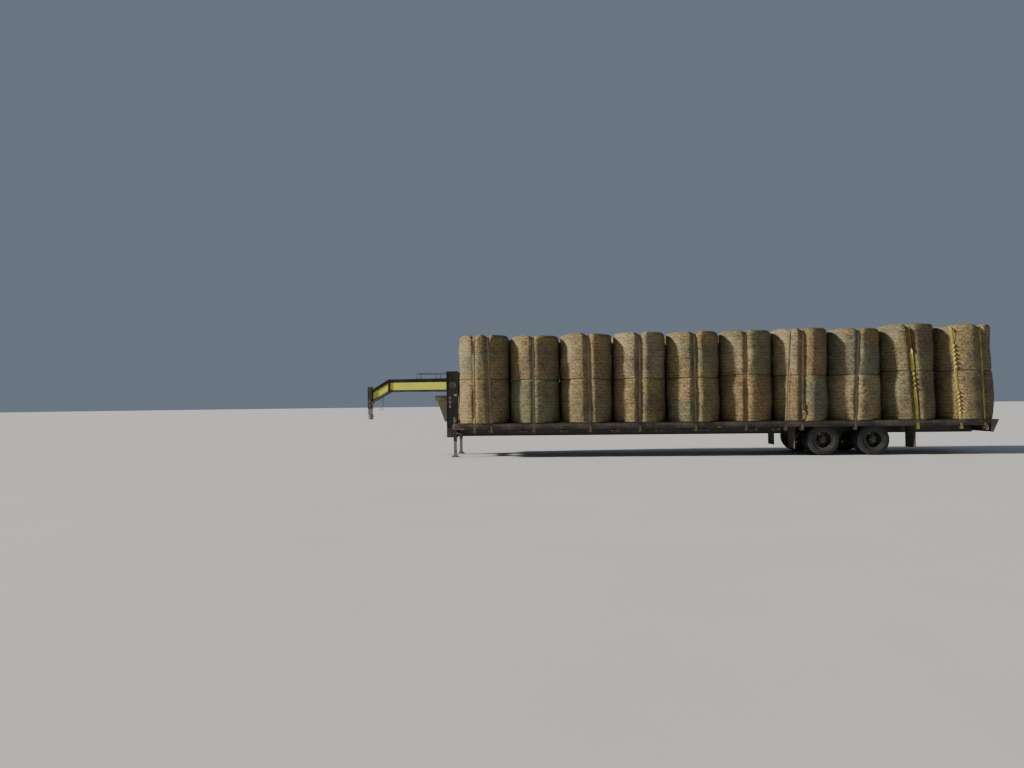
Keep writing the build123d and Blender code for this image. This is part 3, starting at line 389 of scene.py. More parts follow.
@dataclass(frozen=True)
class Hay(Finish):
    """Netted hay, coloured by each bale's own tint."""

    def surface(self, w: Wires, effects: Effects) -> dict[str, object]:
        """Straw laid by the wrap map, with the hollows that the net presses in, and painted shade in those
        hollows and in the gaps between strands.

        Args:
            w: The material's wires.
            effects: The shared node groups.

        Returns:
            The shader's inputs.
        """
        tint = w.tint()
        wrap = w.add("UVMap", uv_map=WRAP).outputs[0]
        straw = w.add("Group", {"Place": wrap}, node_tree=effects.fibre)
        mottle, strands, gaps = (straw.outputs[name] for name in ("Mottle", "Strands", "Gaps"))
        shaded = w.mix(mottle, (0.19, 0.186, 0.2), (0.66, 0.645, 0.69))
        body = w.mix(1.0, tint, shaded, blend="MULTIPLY")
        lit = w.mix(w.times(strands, 0.55), body, w.mix(0.5, tint, (0.4, 0.34, 0.24)))
        flecks = w.noise(wrap, 1.0, 2.0, stretch=(26.0, 44.0, 30.0), warp=1.5)
        flecked = w.mix(w.times(w.between(flecks, 0.57, 0.66), 0.7), lit, (0.47, 0.41, 0.31))
        # Painted shade: the gaps between strands are darkened towards near-black brown.
        dark = w.mix(w.times(gaps, 0.72), flecked, (0.045, 0.034, 0.018))
        turns = w.times(w.add("SeparateXYZ", {0: wrap}).outputs["Y"], TURN / NET_PITCH)
        band = w.maths("SINE", w.plus(turns, w.times(mottle, 1.4)))
        height = w.maths("SUBTRACT", straw.outputs["Height"], w.times(gaps, 0.8))
        return {
            # Painted shade: the net's hollows, where the band is lowest, are darkened to dark brown.
            "Base Color": w.mix(w.between(band, -0.75, -1.0, 0.0, 0.38), dark, (0.07, 0.052, 0.028)),
            "Roughness": 0.82,
            "Specular IOR Level": 0.25,
            "Sheen Weight": 0.08,
            "Normal": w.bump(w.plus(height, w.times(band, 0.12)), 0.016, 0.9),
        }


@dataclass(frozen=True)
class Straw(Finish):
    """Loose strands, coloured by their own tint."""

    def surface(self, w: Wires, effects: Effects) -> dict[str, object]:
        """The tint, lighter and darker from place to place.

        Args:
            w: The material's wires.
            effects: The shared node groups.

        Returns:
            The shader's inputs.
        """
        shade = w.between(w.noise(w.object_place(), 40.0, 2.0), 0.3, 0.7, 0.6, 1.25)
        spread = w.add("CombineColor", {0: shade, 1: shade, 2: shade}).outputs[0]
        return {
            "Base Color": w.mix(1.0, w.tint(), spread, blend="MULTIPLY"),
            "Roughness": w.between(shade, 0.6, 1.25, 0.75, 0.5),
        }


@dataclass(frozen=True)
class Webbing(Finish):
    """Woven polyester strap: ribs across, stitched edges, dirt, fading and painted shade in the weave's
    hollows.
    """

    colour: Colour
    width: float
    dirt: float = 0.4
    rib: float = 0.0042
    yarn: float = 0.0032

    def surface(self, w: Wires, effects: Effects) -> dict[str, object]:
        """The weave on the strap's own UV map, which is in metres.

        Args:
            w: The material's wires.
            effects: The shared node groups.

        Returns:
            The shader's inputs.
        """
        uv = w.add("UVMap", uv_map=WEAVE).outputs[0]
        parts = w.add("SeparateXYZ", {0: uv}).outputs
        ribs = w.maths("SINE", w.times(parts["Y"], TURN / self.rib))
        weave = w.times(ribs, w.maths("SINE", w.times(parts["X"], TURN / self.yarn)))
        edge = w.between(w.maths("ABSOLUTE", parts["X"]), self.width * 0.36, self.width * 0.42)
        soil = w.noise(w.object_place(), 9.0, 6.0, stretch=(1.0, 1.0, 0.5))
        fade = w.noise(uv, 1.0, 3.0, stretch=(20.0, 1.2, 1.0))
        pale, dark = ([c * share for c in self.colour] for share in (0.62, 0.4))
        base = w.mix(w.between(fade, 0.35, 0.65, 0.0, 0.5), self.colour, pale)
        base = w.mix(w.times(edge, 0.45), base, dark)
        # Painted shade: the weave's hollows, where it is lowest, are darkened towards near-black.
        base = w.mix(w.between(weave, -0.2, 0.9, 0.25, 0.0), base, (0.04, 0.035, 0.03))
        dirty = w.times(w.between(soil, 0.42, 0.68), self.dirt)
        return {
            "Base Color": w.mix(dirty, base, (0.10, 0.075, 0.05)),
            "Roughness": w.between(weave, -1.0, 1.0, 0.85, 0.6),
            "Sheen Weight": 0.12,
            "Normal": w.bump(weave, 0.0008, 0.5),
        }


@dataclass(frozen=True)
class Planks(Finish):
    """Weathered boards with grain along the deck, worn grey and stained."""

    def surface(self, w: Wires, effects: Effects) -> dict[str, object]:
        """Long grain, knots, stains, mud and a tone for each board.

        Args:
            w: The material's wires.
            effects: The shared node groups.

        Returns:
            The shader's inputs.
        """
        place = w.object_place()
        y = w.add("SeparateXYZ", {0: place}).outputs["Y"]
        number = w.maths("FLOOR", w.maths("DIVIDE", w.plus(y, BOARD_EDGE), BOARD_PITCH))
        own = w.add("TexWhiteNoise", {"W": number}, noise_dimensions="1D").outputs["Value"]
        grain = w.noise(place, 1.0, 6.0, stretch=(2.2, 75.0, 60.0), warp=0.7)
        figure = w.noise(place, 1.0, 3.0, stretch=(0.8, 14.0, 12.0), warp=1.5)
        knots = w.add("TexVoronoi", {"Vector": place, "Scale": 2.6}, feature="F1").outputs["Distance"]
        old = w.mix(w.between(grain, 0.35, 0.68), (0.075, 0.060, 0.047), (0.23, 0.195, 0.155))
        board = w.mix(w.times(own, 0.55), old, (0.155, 0.105, 0.062))
        stained = w.mix(w.between(figure, 0.5, 0.75, 0.0, 0.6), board, (0.045, 0.035, 0.028))
        knotted = w.mix(w.between(knots, 0.06, 0.03, 0.0, 0.8), stained, (0.03, 0.018, 0.01))
        mud = w.between(w.noise(place, 3.0, 6.0), 0.48, 0.7, 0.0, 0.65)
        return {
            "Base Color": w.mix(mud, knotted, (0.20, 0.155, 0.105)),
            "Roughness": w.between(grain, 0.3, 0.7, 0.92, 0.7),
            "Normal": w.bump(grain, 0.003, 0.8),
        }


@dataclass(frozen=True)
class Lens(Finish):
    """Moulded lamp lens or reflector with small prisms."""

    colour: Colour
    prism: float = 0.004

    def surface(self, w: Wires, effects: Effects) -> dict[str, object]:
        """A prism grid in the bump, with dust over the colour.

        Args:
            w: The material's wires.
            effects: The shared node groups.

        Returns:
            The shader's inputs.
        """
        place = w.object_place()
        cells = w.add("TexVoronoi", {"Vector": place, "Scale": 1 / self.prism}, feature="F1")
        dust = w.between(w.noise(place, 24.0, 5.0), 0.42, 0.7, 0.08, 0.5)
        return {
            "Base Color": w.mix(dust, self.colour, (0.18, 0.14, 0.105)),
            "Roughness": w.between(dust, 0.08, 0.5, 0.16, 0.7),
            "Coat Weight": 0.5,
            "Normal": w.bump(cells.outputs["Distance"], 0.002, 0.35),
        }


@dataclass(frozen=True)
class Ground(Finish):
    """The pale studio floor."""

    colour: Colour = (0.62, 0.62, 0.61)

    def surface(self, w: Wires, effects: Effects) -> dict[str, object]:
        """A plain tone with a faint unevenness."""
        tone = w.between(w.noise(w.object_place(), 0.6, 3.0), 0.3, 0.7, 0.0, 1.0)
        return {"Base Color": w.mix(tone, self.colour, [c * 0.97 for c in self.colour]), "Roughness": 0.85}


FINISHES = {
    "black": Weathered("dusty black paint", (0.014, 0.014, 0.016), rust=0.3, dust=0.3),
    "rail": Weathered("rail paint", (0.018, 0.017, 0.017), rust=0.5, dust=0.55, gloss=0.5),
    "under": Weathered("underframe paint", (0.012, 0.011, 0.011), rust=0.45, dust=0.35, gloss=0.5),
    "yellow": Weathered("yellow panel paint", (0.60, 0.60, 0.04), dust=0.22, rust=0.12, coat=0.3),
    "olive": Weathered("olive box paint", (0.105, 0.098, 0.055), dust=0.35, rust=0.25, gloss=0.42),
    "cap": Weathered("lid paint", (0.17, 0.155, 0.085), dust=0.4, rust=0.2, gloss=0.42),
    "steel": Weathered("dark steel", (0.045, 0.042, 0.04), rust=0.7, metal=0.6, gloss=0.5),
    "worn": Weathered("worn steel", (0.30, 0.29, 0.28), rust=0.75, dust=0.45, metal=0.85, gloss=0.35),
    "bright": Weathered("plated steel", (0.55, 0.54, 0.52), dust=0.25, metal=1.0, gloss=0.25),
    # Painted shade: the rims' base is near-black, darker than their own light paint, for the shade that the
    # deck casts over the wheels.
    "rim": Weathered("dusty rim paint", (0.030, 0.030, 0.031), (0.15, 0.133, 0.117), rust=0.5, gloss=0.42),
    "tyre": Weathered(
        "tyre rubber", (0.015, 0.015, 0.016), (0.070, 0.064, 0.058), (0.045, 0.041, 0.037),
        dust=0.45, gloss=0.72, grain=140.0, relief=0.0006,
    ),
    "flap": Weathered("flap rubber", (0.018, 0.018, 0.018), dust=0.5, rust=0.0, gloss=0.7),
    "conduit": Weathered("pale conduit", (0.62, 0.57, 0.48), dust=0.25, rust=0.0, gloss=0.6),
    "bronze": Weathered("brown gear paint", (0.13, 0.092, 0.055), dust=0.4, rust=0.5, gloss=0.5),
    "white": Weathered("white tape", (0.72, 0.72, 0.70), dust=0.4, rust=0.0, gloss=0.3),
    "tape": Weathered("faded white tape", (0.46, 0.41, 0.41), dust=0.5, rust=0.0, gloss=0.4),
    "red": Lens("red tape", (0.30, 0.04, 0.04)),
    "lamp": Lens("red lens", (0.40, 0.012, 0.010)),
    "amber": Lens("amber lens", (0.75, 0.22, 0.01)),
    "wood": Planks("deck boards"),
    "hay": Hay("netted hay"),
    "straw": Straw("loose straw"),
    # Painted shade: one dark brown for every roll but the yellow ones, darker than the straps' own webbing,
    # for the shade under the side rail.
    "roll": Weathered("rolled webbing", (0.17, 0.135, 0.09), dust=0.4, rust=0.0, gloss=0.75, grain=300.0),
    "yellow_roll": Weathered("yellow webbing roll", (0.66, 0.55, 0.03), dust=0.3, rust=0.0, gloss=0.7),
    "floor": Ground("studio floor"),
}


class Wardrobe:
    """Every finish of the wagon, made once and kept by its short name."""

    def __init__(self) -> None:
        """Makes the materials."""
        self.effects = Effects()
        self.made = {key: finish.make(self.effects) for key, finish in FINISHES.items()}

    def __getitem__(self, key: str) -> Material:
        """The material of that short name."""
        return self.made[key]

    def webbing(self, tone: WebTone, width: float) -> Material:
        """The webbing material of a tone and width, made when first asked for.

        Args:
            tone: Its colour.
            width: Its width, in metres.

        Returns:
            The material.
        """
        key = f"webbing {tone.name.lower()} {round(width * 1000)}"
        if key not in self.made:
            dirt = 0.35 if tone is WebTone.YELLOW else 0.55
            self.made[key] = Webbing(key, tone.value, width, dirt).make(self.effects)
        return self.made[key]


# Shapes by bmesh operators


def bevel_edges(bm: Shape, edges: Iterable, width: float, segments: int = 1) -> None:
    """Rounds or chamfers edges.

    Args:
        bm: The shape.
        edges: The edges to ease.
        width: The ease's width.
        segments: Faces across it.
    """
    chosen = list(edges)
    if chosen and width > 0:
        bmesh.ops.bevel(
            bm, geom=chosen, offset=width, offset_type="OFFSET", segments=segments, profile=0.5,
            affect="EDGES", material=-1, clamp_overlap=True,
        )


def plate(low: Point, high: Point, bevel: float = 0.0015, segments: int = 1) -> Shape:
    """A block between two corners with eased edges.

    Args:
        low: Its least corner.
        high: Its greatest corner.
        bevel: The ease's width.
        segments: Faces across the ease.

    Returns:
        The block.
    """
    bm = bmesh.new()
    size = Vector(high) - Vector(low)
    bmesh.ops.create_cube(bm, size=1.0)
    bmesh.ops.scale(bm, vec=size, verts=bm.verts)
    bmesh.ops.translate(bm, vec=(Vector(low) + Vector(high)) / 2, verts=bm.verts)
    bevel_edges(bm, bm.edges, min(bevel, 0.3 * min(size)), segments)
    return bm


def along(start: Vector, end: Vector) -> Matrix:
    """The turn that lays +Z along a line."""
    return (end - start).to_track_quat("Z", "Y").to_matrix().to_4x4()


def rod(start: Point, end: Point, radius: float, sides: int = 12, ease: float = 0.0) -> Shape:
    """A round bar between two points, its rims eased if asked.

    Args:
        start: The middle of one end.
        end: The middle of the other.
        radius: The bar's radius.
        sides: Faces round it.
        ease: The width of the ease on its rims.

    Returns:
        The bar.
    """
    a, b = Vector(start), Vector(end)
    bm = bmesh.new()
    bmesh.ops.create_cone(
        bm, cap_ends=True, cap_tris=False, segments=sides, radius1=radius, radius2=radius,
        depth=(b - a).length, matrix=Matrix.Translation((a + b) / 2) @ along(a, b),
    )
    if ease:
        bevel_edges(bm, [e for e in bm.edges if any(len(f.verts) > 4 for f in e.link_faces)], ease)
    return bm


def turned(section: Section, centre: Point, axis: str = "Y", sides: int = 32) -> Shape:
    """A shape turned about an axis.

    Args:
        section: (radius, place along the axis) of the outline's points.
        centre: A point on the axis.
        axis: "X", "Y" or "Z".
        sides: Steps round the axis.

    Returns:
        The closed shape, its poles merged and its faces outwards.
    """
    bm = bmesh.new()
    verts = [bmesh.ops.create_vert(bm, co=(r, 0.0, h))["vert"][0] for r, h in section]
    edges = [bm.edges.new(pair) for pair in zip(verts, verts[1:])]
    bmesh.ops.spin(
        bm, geom=verts + edges, cent=(0, 0, 0), axis=(0, 0, 1), dvec=(0, 0, 0), angle=TURN,
        steps=sides, use_merge=True, use_duplicate=False,
    )
    bmesh.ops.remove_doubles(bm, verts=bm.verts, dist=1e-5)
    bmesh.ops.recalc_face_normals(bm, faces=bm.faces)
    about, angle = {"X": ("Y", 90), "Y": ("X", -90), "Z": ("Z", 0)}[axis]
    return moved(bm, Matrix.Translation(centre) @ Matrix.Rotation(math.radians(angle), 4, about))


def outline_plate(points: Section, y: float, thickness: float, bevel: float = 0.001) -> Shape:
    """A flat plate of a side outline.

    Args:
        points: (x, z) corners of the outline.
        y: Where its first face lies.
        thickness: How far it goes on towards +Y.
        bevel: The ease on its rim.

    Returns:
        The plate.
    """
    bm = bmesh.new()
    verts = [bmesh.ops.create_vert(bm, co=(x, y, z))["vert"][0] for x, z in points]
    grown = bmesh.ops.extrude_face_region(bm, geom=[bm.faces.new(verts)])["geom"]
    far = [v for v in grown if isinstance(v, bmesh.types.BMVert)]
    bmesh.ops.translate(bm, vec=(0, thickness, 0), verts=far)
    bmesh.ops.recalc_face_normals(bm, faces=bm.faces)
    bevel_edges(bm, bm.edges, min(bevel, thickness * 0.3))
    return bm


def bent_rod(points: Sequence[Point], radius: float, sides: int = 8, close: bool = False) -> Shape:
    """A round bar along a line of points, its section turned into each bend.

    Args:
        points: The middle line.
        radius: The bar's radius.
        sides: Faces round the bar.
        close: Whether the line ends where it starts.

    Returns:
        The bar, with its ends closed.
    """
    bm = bmesh.new()
    line = [Vector(p) for p in points]
    count = len(line)
    loops = []
    for i, place in enumerate(line):
        before = line[(i - 1) % count] if close or i else place
        after = line[(i + 1) % count] if close or i < count - 1 else place
        matrix = Matrix.Translation(place) @ along(before, after)
        ring = bmesh.ops.create_circle(bm, cap_ends=False, segments=sides, radius=radius, matrix=matrix)
        verts = ring["verts"]
        loops.append([e for e in bm.edges if e.verts[0] in verts and e.verts[1] in verts])
    for a, b in zip(loops, loops[1:] + loops[:1] if close else loops[1:]):
        bmesh.ops.bridge_loops(bm, edges=a + b)
    if not close:
        bmesh.ops.holes_fill(bm, edges=loops[0] + loops[-1], sides=0)
    bmesh.ops.recalc_face_normals(bm, faces=bm.faces)
    return bm


def moved(bm: Shape, matrix: Matrix) -> Shape:
    """The same shape after a move or turn."""
    bmesh.ops.transform(bm, matrix=matrix, verts=bm.verts)
    return bm


def mirrored(bm: Shape) -> Shape:
    """The same shape on the other side of the wagon.

    Args:
        bm: The shape, which changes.

    Returns:
        That shape.
    """
    bmesh.ops.scale(bm, vec=(1, -1, 1), verts=bm.verts)
    bmesh.ops.reverse_faces(bm, faces=bm.faces)
    return bm


def disc(radius: float, low: float, high: float) -> Section:
    """The section of a plain disc between two places on its axis."""
    return [(0.0, low), (radius, low), (radius, high), (0.0, high)]


def roll(core: float, rim: float, crown: float, half: float) -> Section:
    """The section of a roll of webbing, a little higher in its middle."""
    return [(core, -half), (rim, -half), (crown, 0.0), (rim, half), (core, half)]


def nut(place: Point, radius: float, depth: float, axis: str = "Y", outwards: int = 1) -> Shape:
    """A hexagon nut with a chamfered top, from its seat outwards.

    Args:
        place: The middle of its seat.
        radius: How far its corners reach.
        depth: Its height.
        axis: "X", "Y" or "Z".
        outwards: 1 or -1, its way along the axis.

    Returns:
        The nut.
    """
    top = outwards * depth
    section = [(0, 0), (radius, 0), (radius, top * 0.82), (radius * 0.84, top), (0, top)]
    return turned(section, place, axis, 6)


def rivet(place: Point, axis: str, outwards: int) -> Shape:
    """A small domed rivet head."""
    dome = [(0.0, 0.0), (0.006, 0.0), (0.0045, 0.002), (0.0, 0.003)]
    return turned([(r, outwards * h) for r, h in dome], place, axis, 8)


def ring_places(x: float, z: float, radius: float, count: int, first: float = 0.5) -> Section:
    """Places spread evenly round (x, z), the first one a share of a step along."""
    turns = [TURN * (i + first) / count for i in range(count)]
    return [(x + radius * math.cos(turn), z + radius * math.sin(turn)) for turn in turns]


def mesh_of(bm: Shape, name: str) -> Mesh:
    """The shape as a mesh; the shape itself is freed.

    Args:
        bm: The shape.
        name: The mesh's name.

    Returns:
        The mesh.
    """
    mesh = bpy.data.meshes.new(name)
    bm.to_mesh(mesh)
    bm.free()
    return mesh


def finish_mesh(
    name: str, mesh: Mesh, materials: Sequence[Material], body: str = "chassis",
    replaces: Sequence[str] = (), sharp: float = 180.0,
) -> bpy.types.Object:
    """Turns a mesh into a dressed piece that rides on a body, and reports it.

    Args:
        name: The piece's name.
        mesh: Its mesh.
        materials: Its materials, in the order of the mesh's material numbers.
        body: The CAD body that it rides on.
        replaces: CAD nodes that it stands for.
        sharp: The angle from which edges stay sharp, in degrees.

    Returns:
        The object.
    """
    for material in materials:
        mesh.materials.append(material)
    mesh.shade_smooth()
    if sharp < 180:
        mesh.set_sharp_from_angle(angle=math.radians(sharp))
    obj = bpy.data.objects.new(name, mesh)
    bpy.context.scene.collection.objects.link(obj)
    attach(obj, body)
    if replaces:
        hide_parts(*replaces)
    LOG.info("%s: %d faces on %s", name, len(mesh.polygons), body)
    return obj


class Piece:
    """One finished piece: shapes joined in one mesh, dressed, and riding on a body."""

    def __init__(self, name: str, materials: Sequence[Material]) -> None:
        """Starts an empty piece with its materials.

        Args:
            name: Its name.
            materials: Its materials, in the order of their numbers.
        """
        self.name = name
        self.materials = materials
        self.bm = bmesh.new()

    def take(self, shape: Shape, material: int = 0) -> None:
        """Joins a shape to the piece, with one of the piece's materials.

        Args:
            shape: The shape, which is used up.
            material: The number of its material.
        """
        for face in shape.faces:
            face.material_index = material
        mesh = mesh_of(shape, "shape")
        self.bm.from_mesh(mesh)
        bpy.data.meshes.remove(mesh)

    def take_both(self, shape: Shape, material: int = 0) -> None:
        """Joins a shape and its mirror image on the other side.

        Args:
            shape: The shape, which is used up.
            material: The number of its material.
        """
        other = mirrored(shape.copy())
        self.take(shape, material)
        self.take(other, material)

    def done(
        self, slot: str, body: str = "chassis", replaces: Sequence[str] = (), sharp: float = 40.0
    ) -> None:
        """Makes the object; slot is not used, and the other arguments are those of finish_mesh."""
        finish_mesh(self.name, mesh_of(self.bm, self.name), self.materials, body, replaces, sharp)


# Soft-form helpers on numpy arrays


def smoothstep(value: np.ndarray, low: float, high: float) -> np.ndarray:
    """A smooth step from 0 at low to 1 at high."""
    t = np.clip((value - low) / (high - low), 0, 1)
    return t * t * (3 - 2 * t)


def waves(angle: np.ndarray, height: np.ndarray, rng: Chance, reach: int, tall: float) -> np.ndarray:
    """Uneven waves that close round a barrel, between about -1 and 1.

    Args:
        angle: Angle round the barrel.
        height: Height on it, in metres.
        rng: The seeded source of chance.
        reach: The most waves round the barrel.
        tall: The most waves in a metre of height.

    Returns:
        The waves' sum at each place.
    """
    total = np.zeros_like(angle)
    count = 14
    for _ in range(count):
        around = rng.integers(1, reach + 1)
        rise = rng.uniform(-tall, tall)
        total += np.sin(around * angle + TURN * rise * height + rng.uniform(0, TURN))
    return total / math.sqrt(count)


def read(items: Sequence, key: str, kind: type = np.float64, size: int = 3) -> np.ndarray:
    """One attribute of all of a mesh's points, corners or faces as an array.

    Args:
        items: The points, corners or faces.
        key: The attribute's name.
        kind: The array's type.
        size: Values in each item.

    Returns:
        A row of values for each item.
    """
    values = np.empty(len(items) * size, kind)
    items.foreach_get(key, values)
    return values.reshape(-1, size) if size > 1 else values


def corner_points(mesh: Mesh) -> np.ndarray:
    """The number of the point at each face corner."""
    return read(mesh.loops, "vertex_index", np.int32, 1)


def set_co(mesh: Mesh, co: np.ndarray) -> None:
    """Moves the mesh's points."""
    mesh.vertices.foreach_set("co", co.ravel())
    mesh.update()


def set_uv(mesh: Mesh, name: str, uv: Sequence[np.ndarray]) -> None:
    """Writes a UV map from its two values at each face corner."""
    layer = mesh.uv_layers.new(name=name)
    layer.data.foreach_set("uv", np.stack(uv, 1).astype(np.float32).ravel())


def set_tint(mesh: Mesh, colours: np.ndarray) -> None:
    """Writes a colour for each point.

    Args:
        mesh: The mesh.
        colours: Red, green and blue for each point.
    """
    full = np.ones((len(colours), 4), np.float32)
    full[:, :3] = colours
    mesh.color_attributes.new(TINT, "FLOAT_COLOR", "POINT").data.foreach_set("color", full.ravel())


def blades(name: str, corners: Sequence[np.ndarray], colours: np.ndarray, straw: Material) -> None:
    """Lays loose blades of straw as one piece.

    The blades start as one strip of a grid that is split into loose faces, and each face
    is then laid on its four corners.

    Args:
        name: The piece's name.
        corners: The blades' first, second, third and fourth corners.
        colours: A colour for each blade.
        straw: The material.
    """
    bm = bmesh.new()
    bmesh.ops.create_grid(bm, x_segments=len(colours), y_segments=1, size=0.5)
    bmesh.ops.split_edges(bm, edges=[e for e in bm.edges if len(e.link_faces) == 2])
    mesh = mesh_of(bm, name)
    points = corner_points(mesh).reshape(-1, 4)
    co = np.empty((len(mesh.vertices), 3))
    tint = np.empty_like(co)
    co[points] = np.stack(corners, 1)
    tint[points] = colours[:, None, :]
    set_co(mesh, co)
    set_tint(mesh, tint)
    finish_mesh(name, mesh, [straw])


# The wagon's places


@dataclass(frozen=True)
class Places:
    """Where the wagon's main lines lie in the frame, in metres."""

    deck_front: float
    deck_rear: float
    riser_front: float
    riser_rear: float
    lid_front: float
    axles: tuple[float, float]
    axle_height: float
    deck_height: float
    beam_offset: float = 0.480
    rail_height: float = 0.152

    @classmethod
    def read(cls) -> "Places":
        """Reads the places from the CAD nodes' boxes.

        Returns:
            The places.
        """
        riser_depth = 0.309
        rail_low, rail_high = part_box("side_rail_left")
        riser_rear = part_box("riser_left")[1].x
        front, rear = (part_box(f"axle_{end}") for end in ("front", "rear"))
        return cls(
            deck_front=rail_low.x,
            deck_rear=rail_high.x,
            riser_front=riser_rear - riser_depth,
            riser_rear=riser_rear,
            lid_front=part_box("tool_box_lid")[0].x,
            axles=((front[0].x + front[1].x) / 2, (rear[0].x + rear[1].x) / 2),
            axle_height=(front[0].z + front[1].z) / 2,
            deck_height=rail_high.z,
        )


@dataclass
class Assembly:
    """What every sub-assembly shares: the finishes and the wagon's main places."""

    wardrobe: Wardrobe
    places: Places

    def piece(self, name: str, *keys: str) -> Piece:
        """Starts a piece with finishes by their short names."""
        return Piece(name, [self.wardrobe[key] for key in keys])


# The load


@dataclass(frozen=True)
class Column:
    """One column of bales: how its sizes differ from the mean, in metres."""

    lower_diameter: float
    upper_diameter: float
    lower_height: float
    upper_height: float


@dataclass(frozen=True)
class StrapPlan:
    """One strap: its column, its places behind the column's middle, its look and its twist.

    The twist lists heights over the deck, each with the half turns that are reached there.
    """

    column: int
    at_deck: float
    on_top: float
    tone: WebTone
    width: float = 0.050
    twist: Section = ()


@dataclass(frozen=True)
class BaleLook:
    """How one near-side bale looks.

    The patch covers a share of the height from `low` to `high`, on one side of the bale:
    `turn` is where round the bale its middle lies, in degrees, 0 to the rear and 90 far side.
    """

    main: HayTone
    patch: HayTone
    low: float
    high: float
    turn: float
    lean: float = 0.0
    belly: float = 0.0


COLUMNS = (
    Column(-0.015, -0.025, -0.023, -0.012),
    Column(-0.045, -0.051, -0.047, -0.018),
    Column(0.007, 0.003, -0.045, 0.015),
    Column(0.011, 0.011, -0.049, 0.029),
    Column(0.015, 0.003, -0.050, 0.031),
    Column(-0.021, -0.021, 0.020, -0.024),
    Column(0.035, 0.035, -0.012, 0.034),
    Column(-0.021, -0.037, -0.014, 0.020),
    Column(-0.005, -0.013, 0.066, 0.032),
    Column(0.035, 0.015, 0.056, -0.002),
)

LONG_TWIST = (
    (0.10, 0.0), (0.20, 0.14), (0.76, 0.14), (1.26, 4.14),
    (1.66, 4.14), (1.80, 4.64), (2.26, 4.64), (2.37, 5.0),
)
TIGHT_TWIST = ((0.14, 0.0), (0.74, 6.0), (1.28, 6.0), (1.92, 12.0))

STRAPS = (
    StrapPlan(0, -0.222, -0.235, WebTone.TAN),
    StrapPlan(0, 0.207, 0.129, WebTone.GREY),
    StrapPlan(1, -0.032, -0.040, WebTone.GREY),
    StrapPlan(2, 0.056, 0.014, WebTone.GREY),
    StrapPlan(3, -0.060, -0.039, WebTone.GREY),
    StrapPlan(4, -0.027, -0.034, WebTone.GREY),
    StrapPlan(5, -0.133, -0.111, WebTone.ORANGE),
    StrapPlan(6, -0.515, -0.370, WebTone.GREY),
    StrapPlan(6, -0.105, -0.049, WebTone.TAN),
    StrapPlan(7, -0.157, -0.035, WebTone.GREY),
    StrapPlan(8, 0.006, -0.177, WebTone.YELLOW, 0.085, LONG_TWIST),
    StrapPlan(9, -0.317, -0.507, WebTone.YELLOW, 0.070, TIGHT_TWIST),
    StrapPlan(9, 0.275, 0.197, WebTone.LIME),
)
RATCHET_STRAP = STRAPS[8]

# Partly painted light and shade: besides hay of other colours, the patches in these two tables mostly put
# lighter tones on the front quarter, turn 222 to 250, that faces the key light, and darker tones on the rear
# of the near face, turn 290 to 320, that lies in its shade.
LOWER_LOOKS = (
    BaleLook(HayTone.GOLDEN, HayTone.ORANGE, 0.35, 0.95, 235),
    BaleLook(HayTone.GREEN, HayTone.OLIVE, 0.5, 0.9, 300),
    BaleLook(HayTone.GOLDEN, HayTone.TAN, 0.0, 0.6, 300),
    BaleLook(HayTone.GOLDEN, HayTone.BROWN, 0.2, 0.6, 290, belly=-0.02),
    BaleLook(HayTone.GOLDEN, HayTone.GREEN, 0.0, 0.5, 235),
    BaleLook(HayTone.ORANGE, HayTone.GOLDEN, 0.3, 0.9, 230),
    BaleLook(HayTone.GOLDEN, HayTone.BLUE_GREEN, 0.0, 1.0, 320),
    BaleLook(HayTone.PALE, HayTone.GOLDEN, 0.0, 0.6, 300, belly=-0.03),
    BaleLook(HayTone.OLIVE, HayTone.BROWN, 0.2, 0.9, 290, belly=-0.05),
    BaleLook(HayTone.BROWN, HayTone.GOLDEN, 0.0, 1.0, 225, lean=0.03),
)
UPPER_LOOKS = (
    BaleLook(HayTone.GOLDEN, HayTone.GREEN, 0.15, 0.6, 240),
    BaleLook(HayTone.GOLDEN, HayTone.TAN, 0.1, 0.7, 290),
    BaleLook(HayTone.GOLDEN, HayTone.PALE, 0.3, 0.8, 230),
    BaleLook(HayTone.PALE, HayTone.TAN, 0.1, 0.5, 250),
    BaleLook(HayTone.GOLDEN, HayTone.OLIVE, 0.2, 0.7, 290),
    BaleLook(HayTone.OLIVE, HayTone.PALE, 0.1, 0.8, 232),
    BaleLook(HayTone.ORANGE, HayTone.PALE, 0.0, 1.0, 222),
    BaleLook(HayTone.BLUE_GREEN, HayTone.ORANGE, 0.5, 1.0, 300),
    BaleLook(HayTone.OLIVE, HayTone.BROWN, 0.3, 1.0, 300, lean=-0.02),
    BaleLook(HayTone.TAN, HayTone.GOLDEN, 0.2, 1.0, 225, lean=-0.02),
)


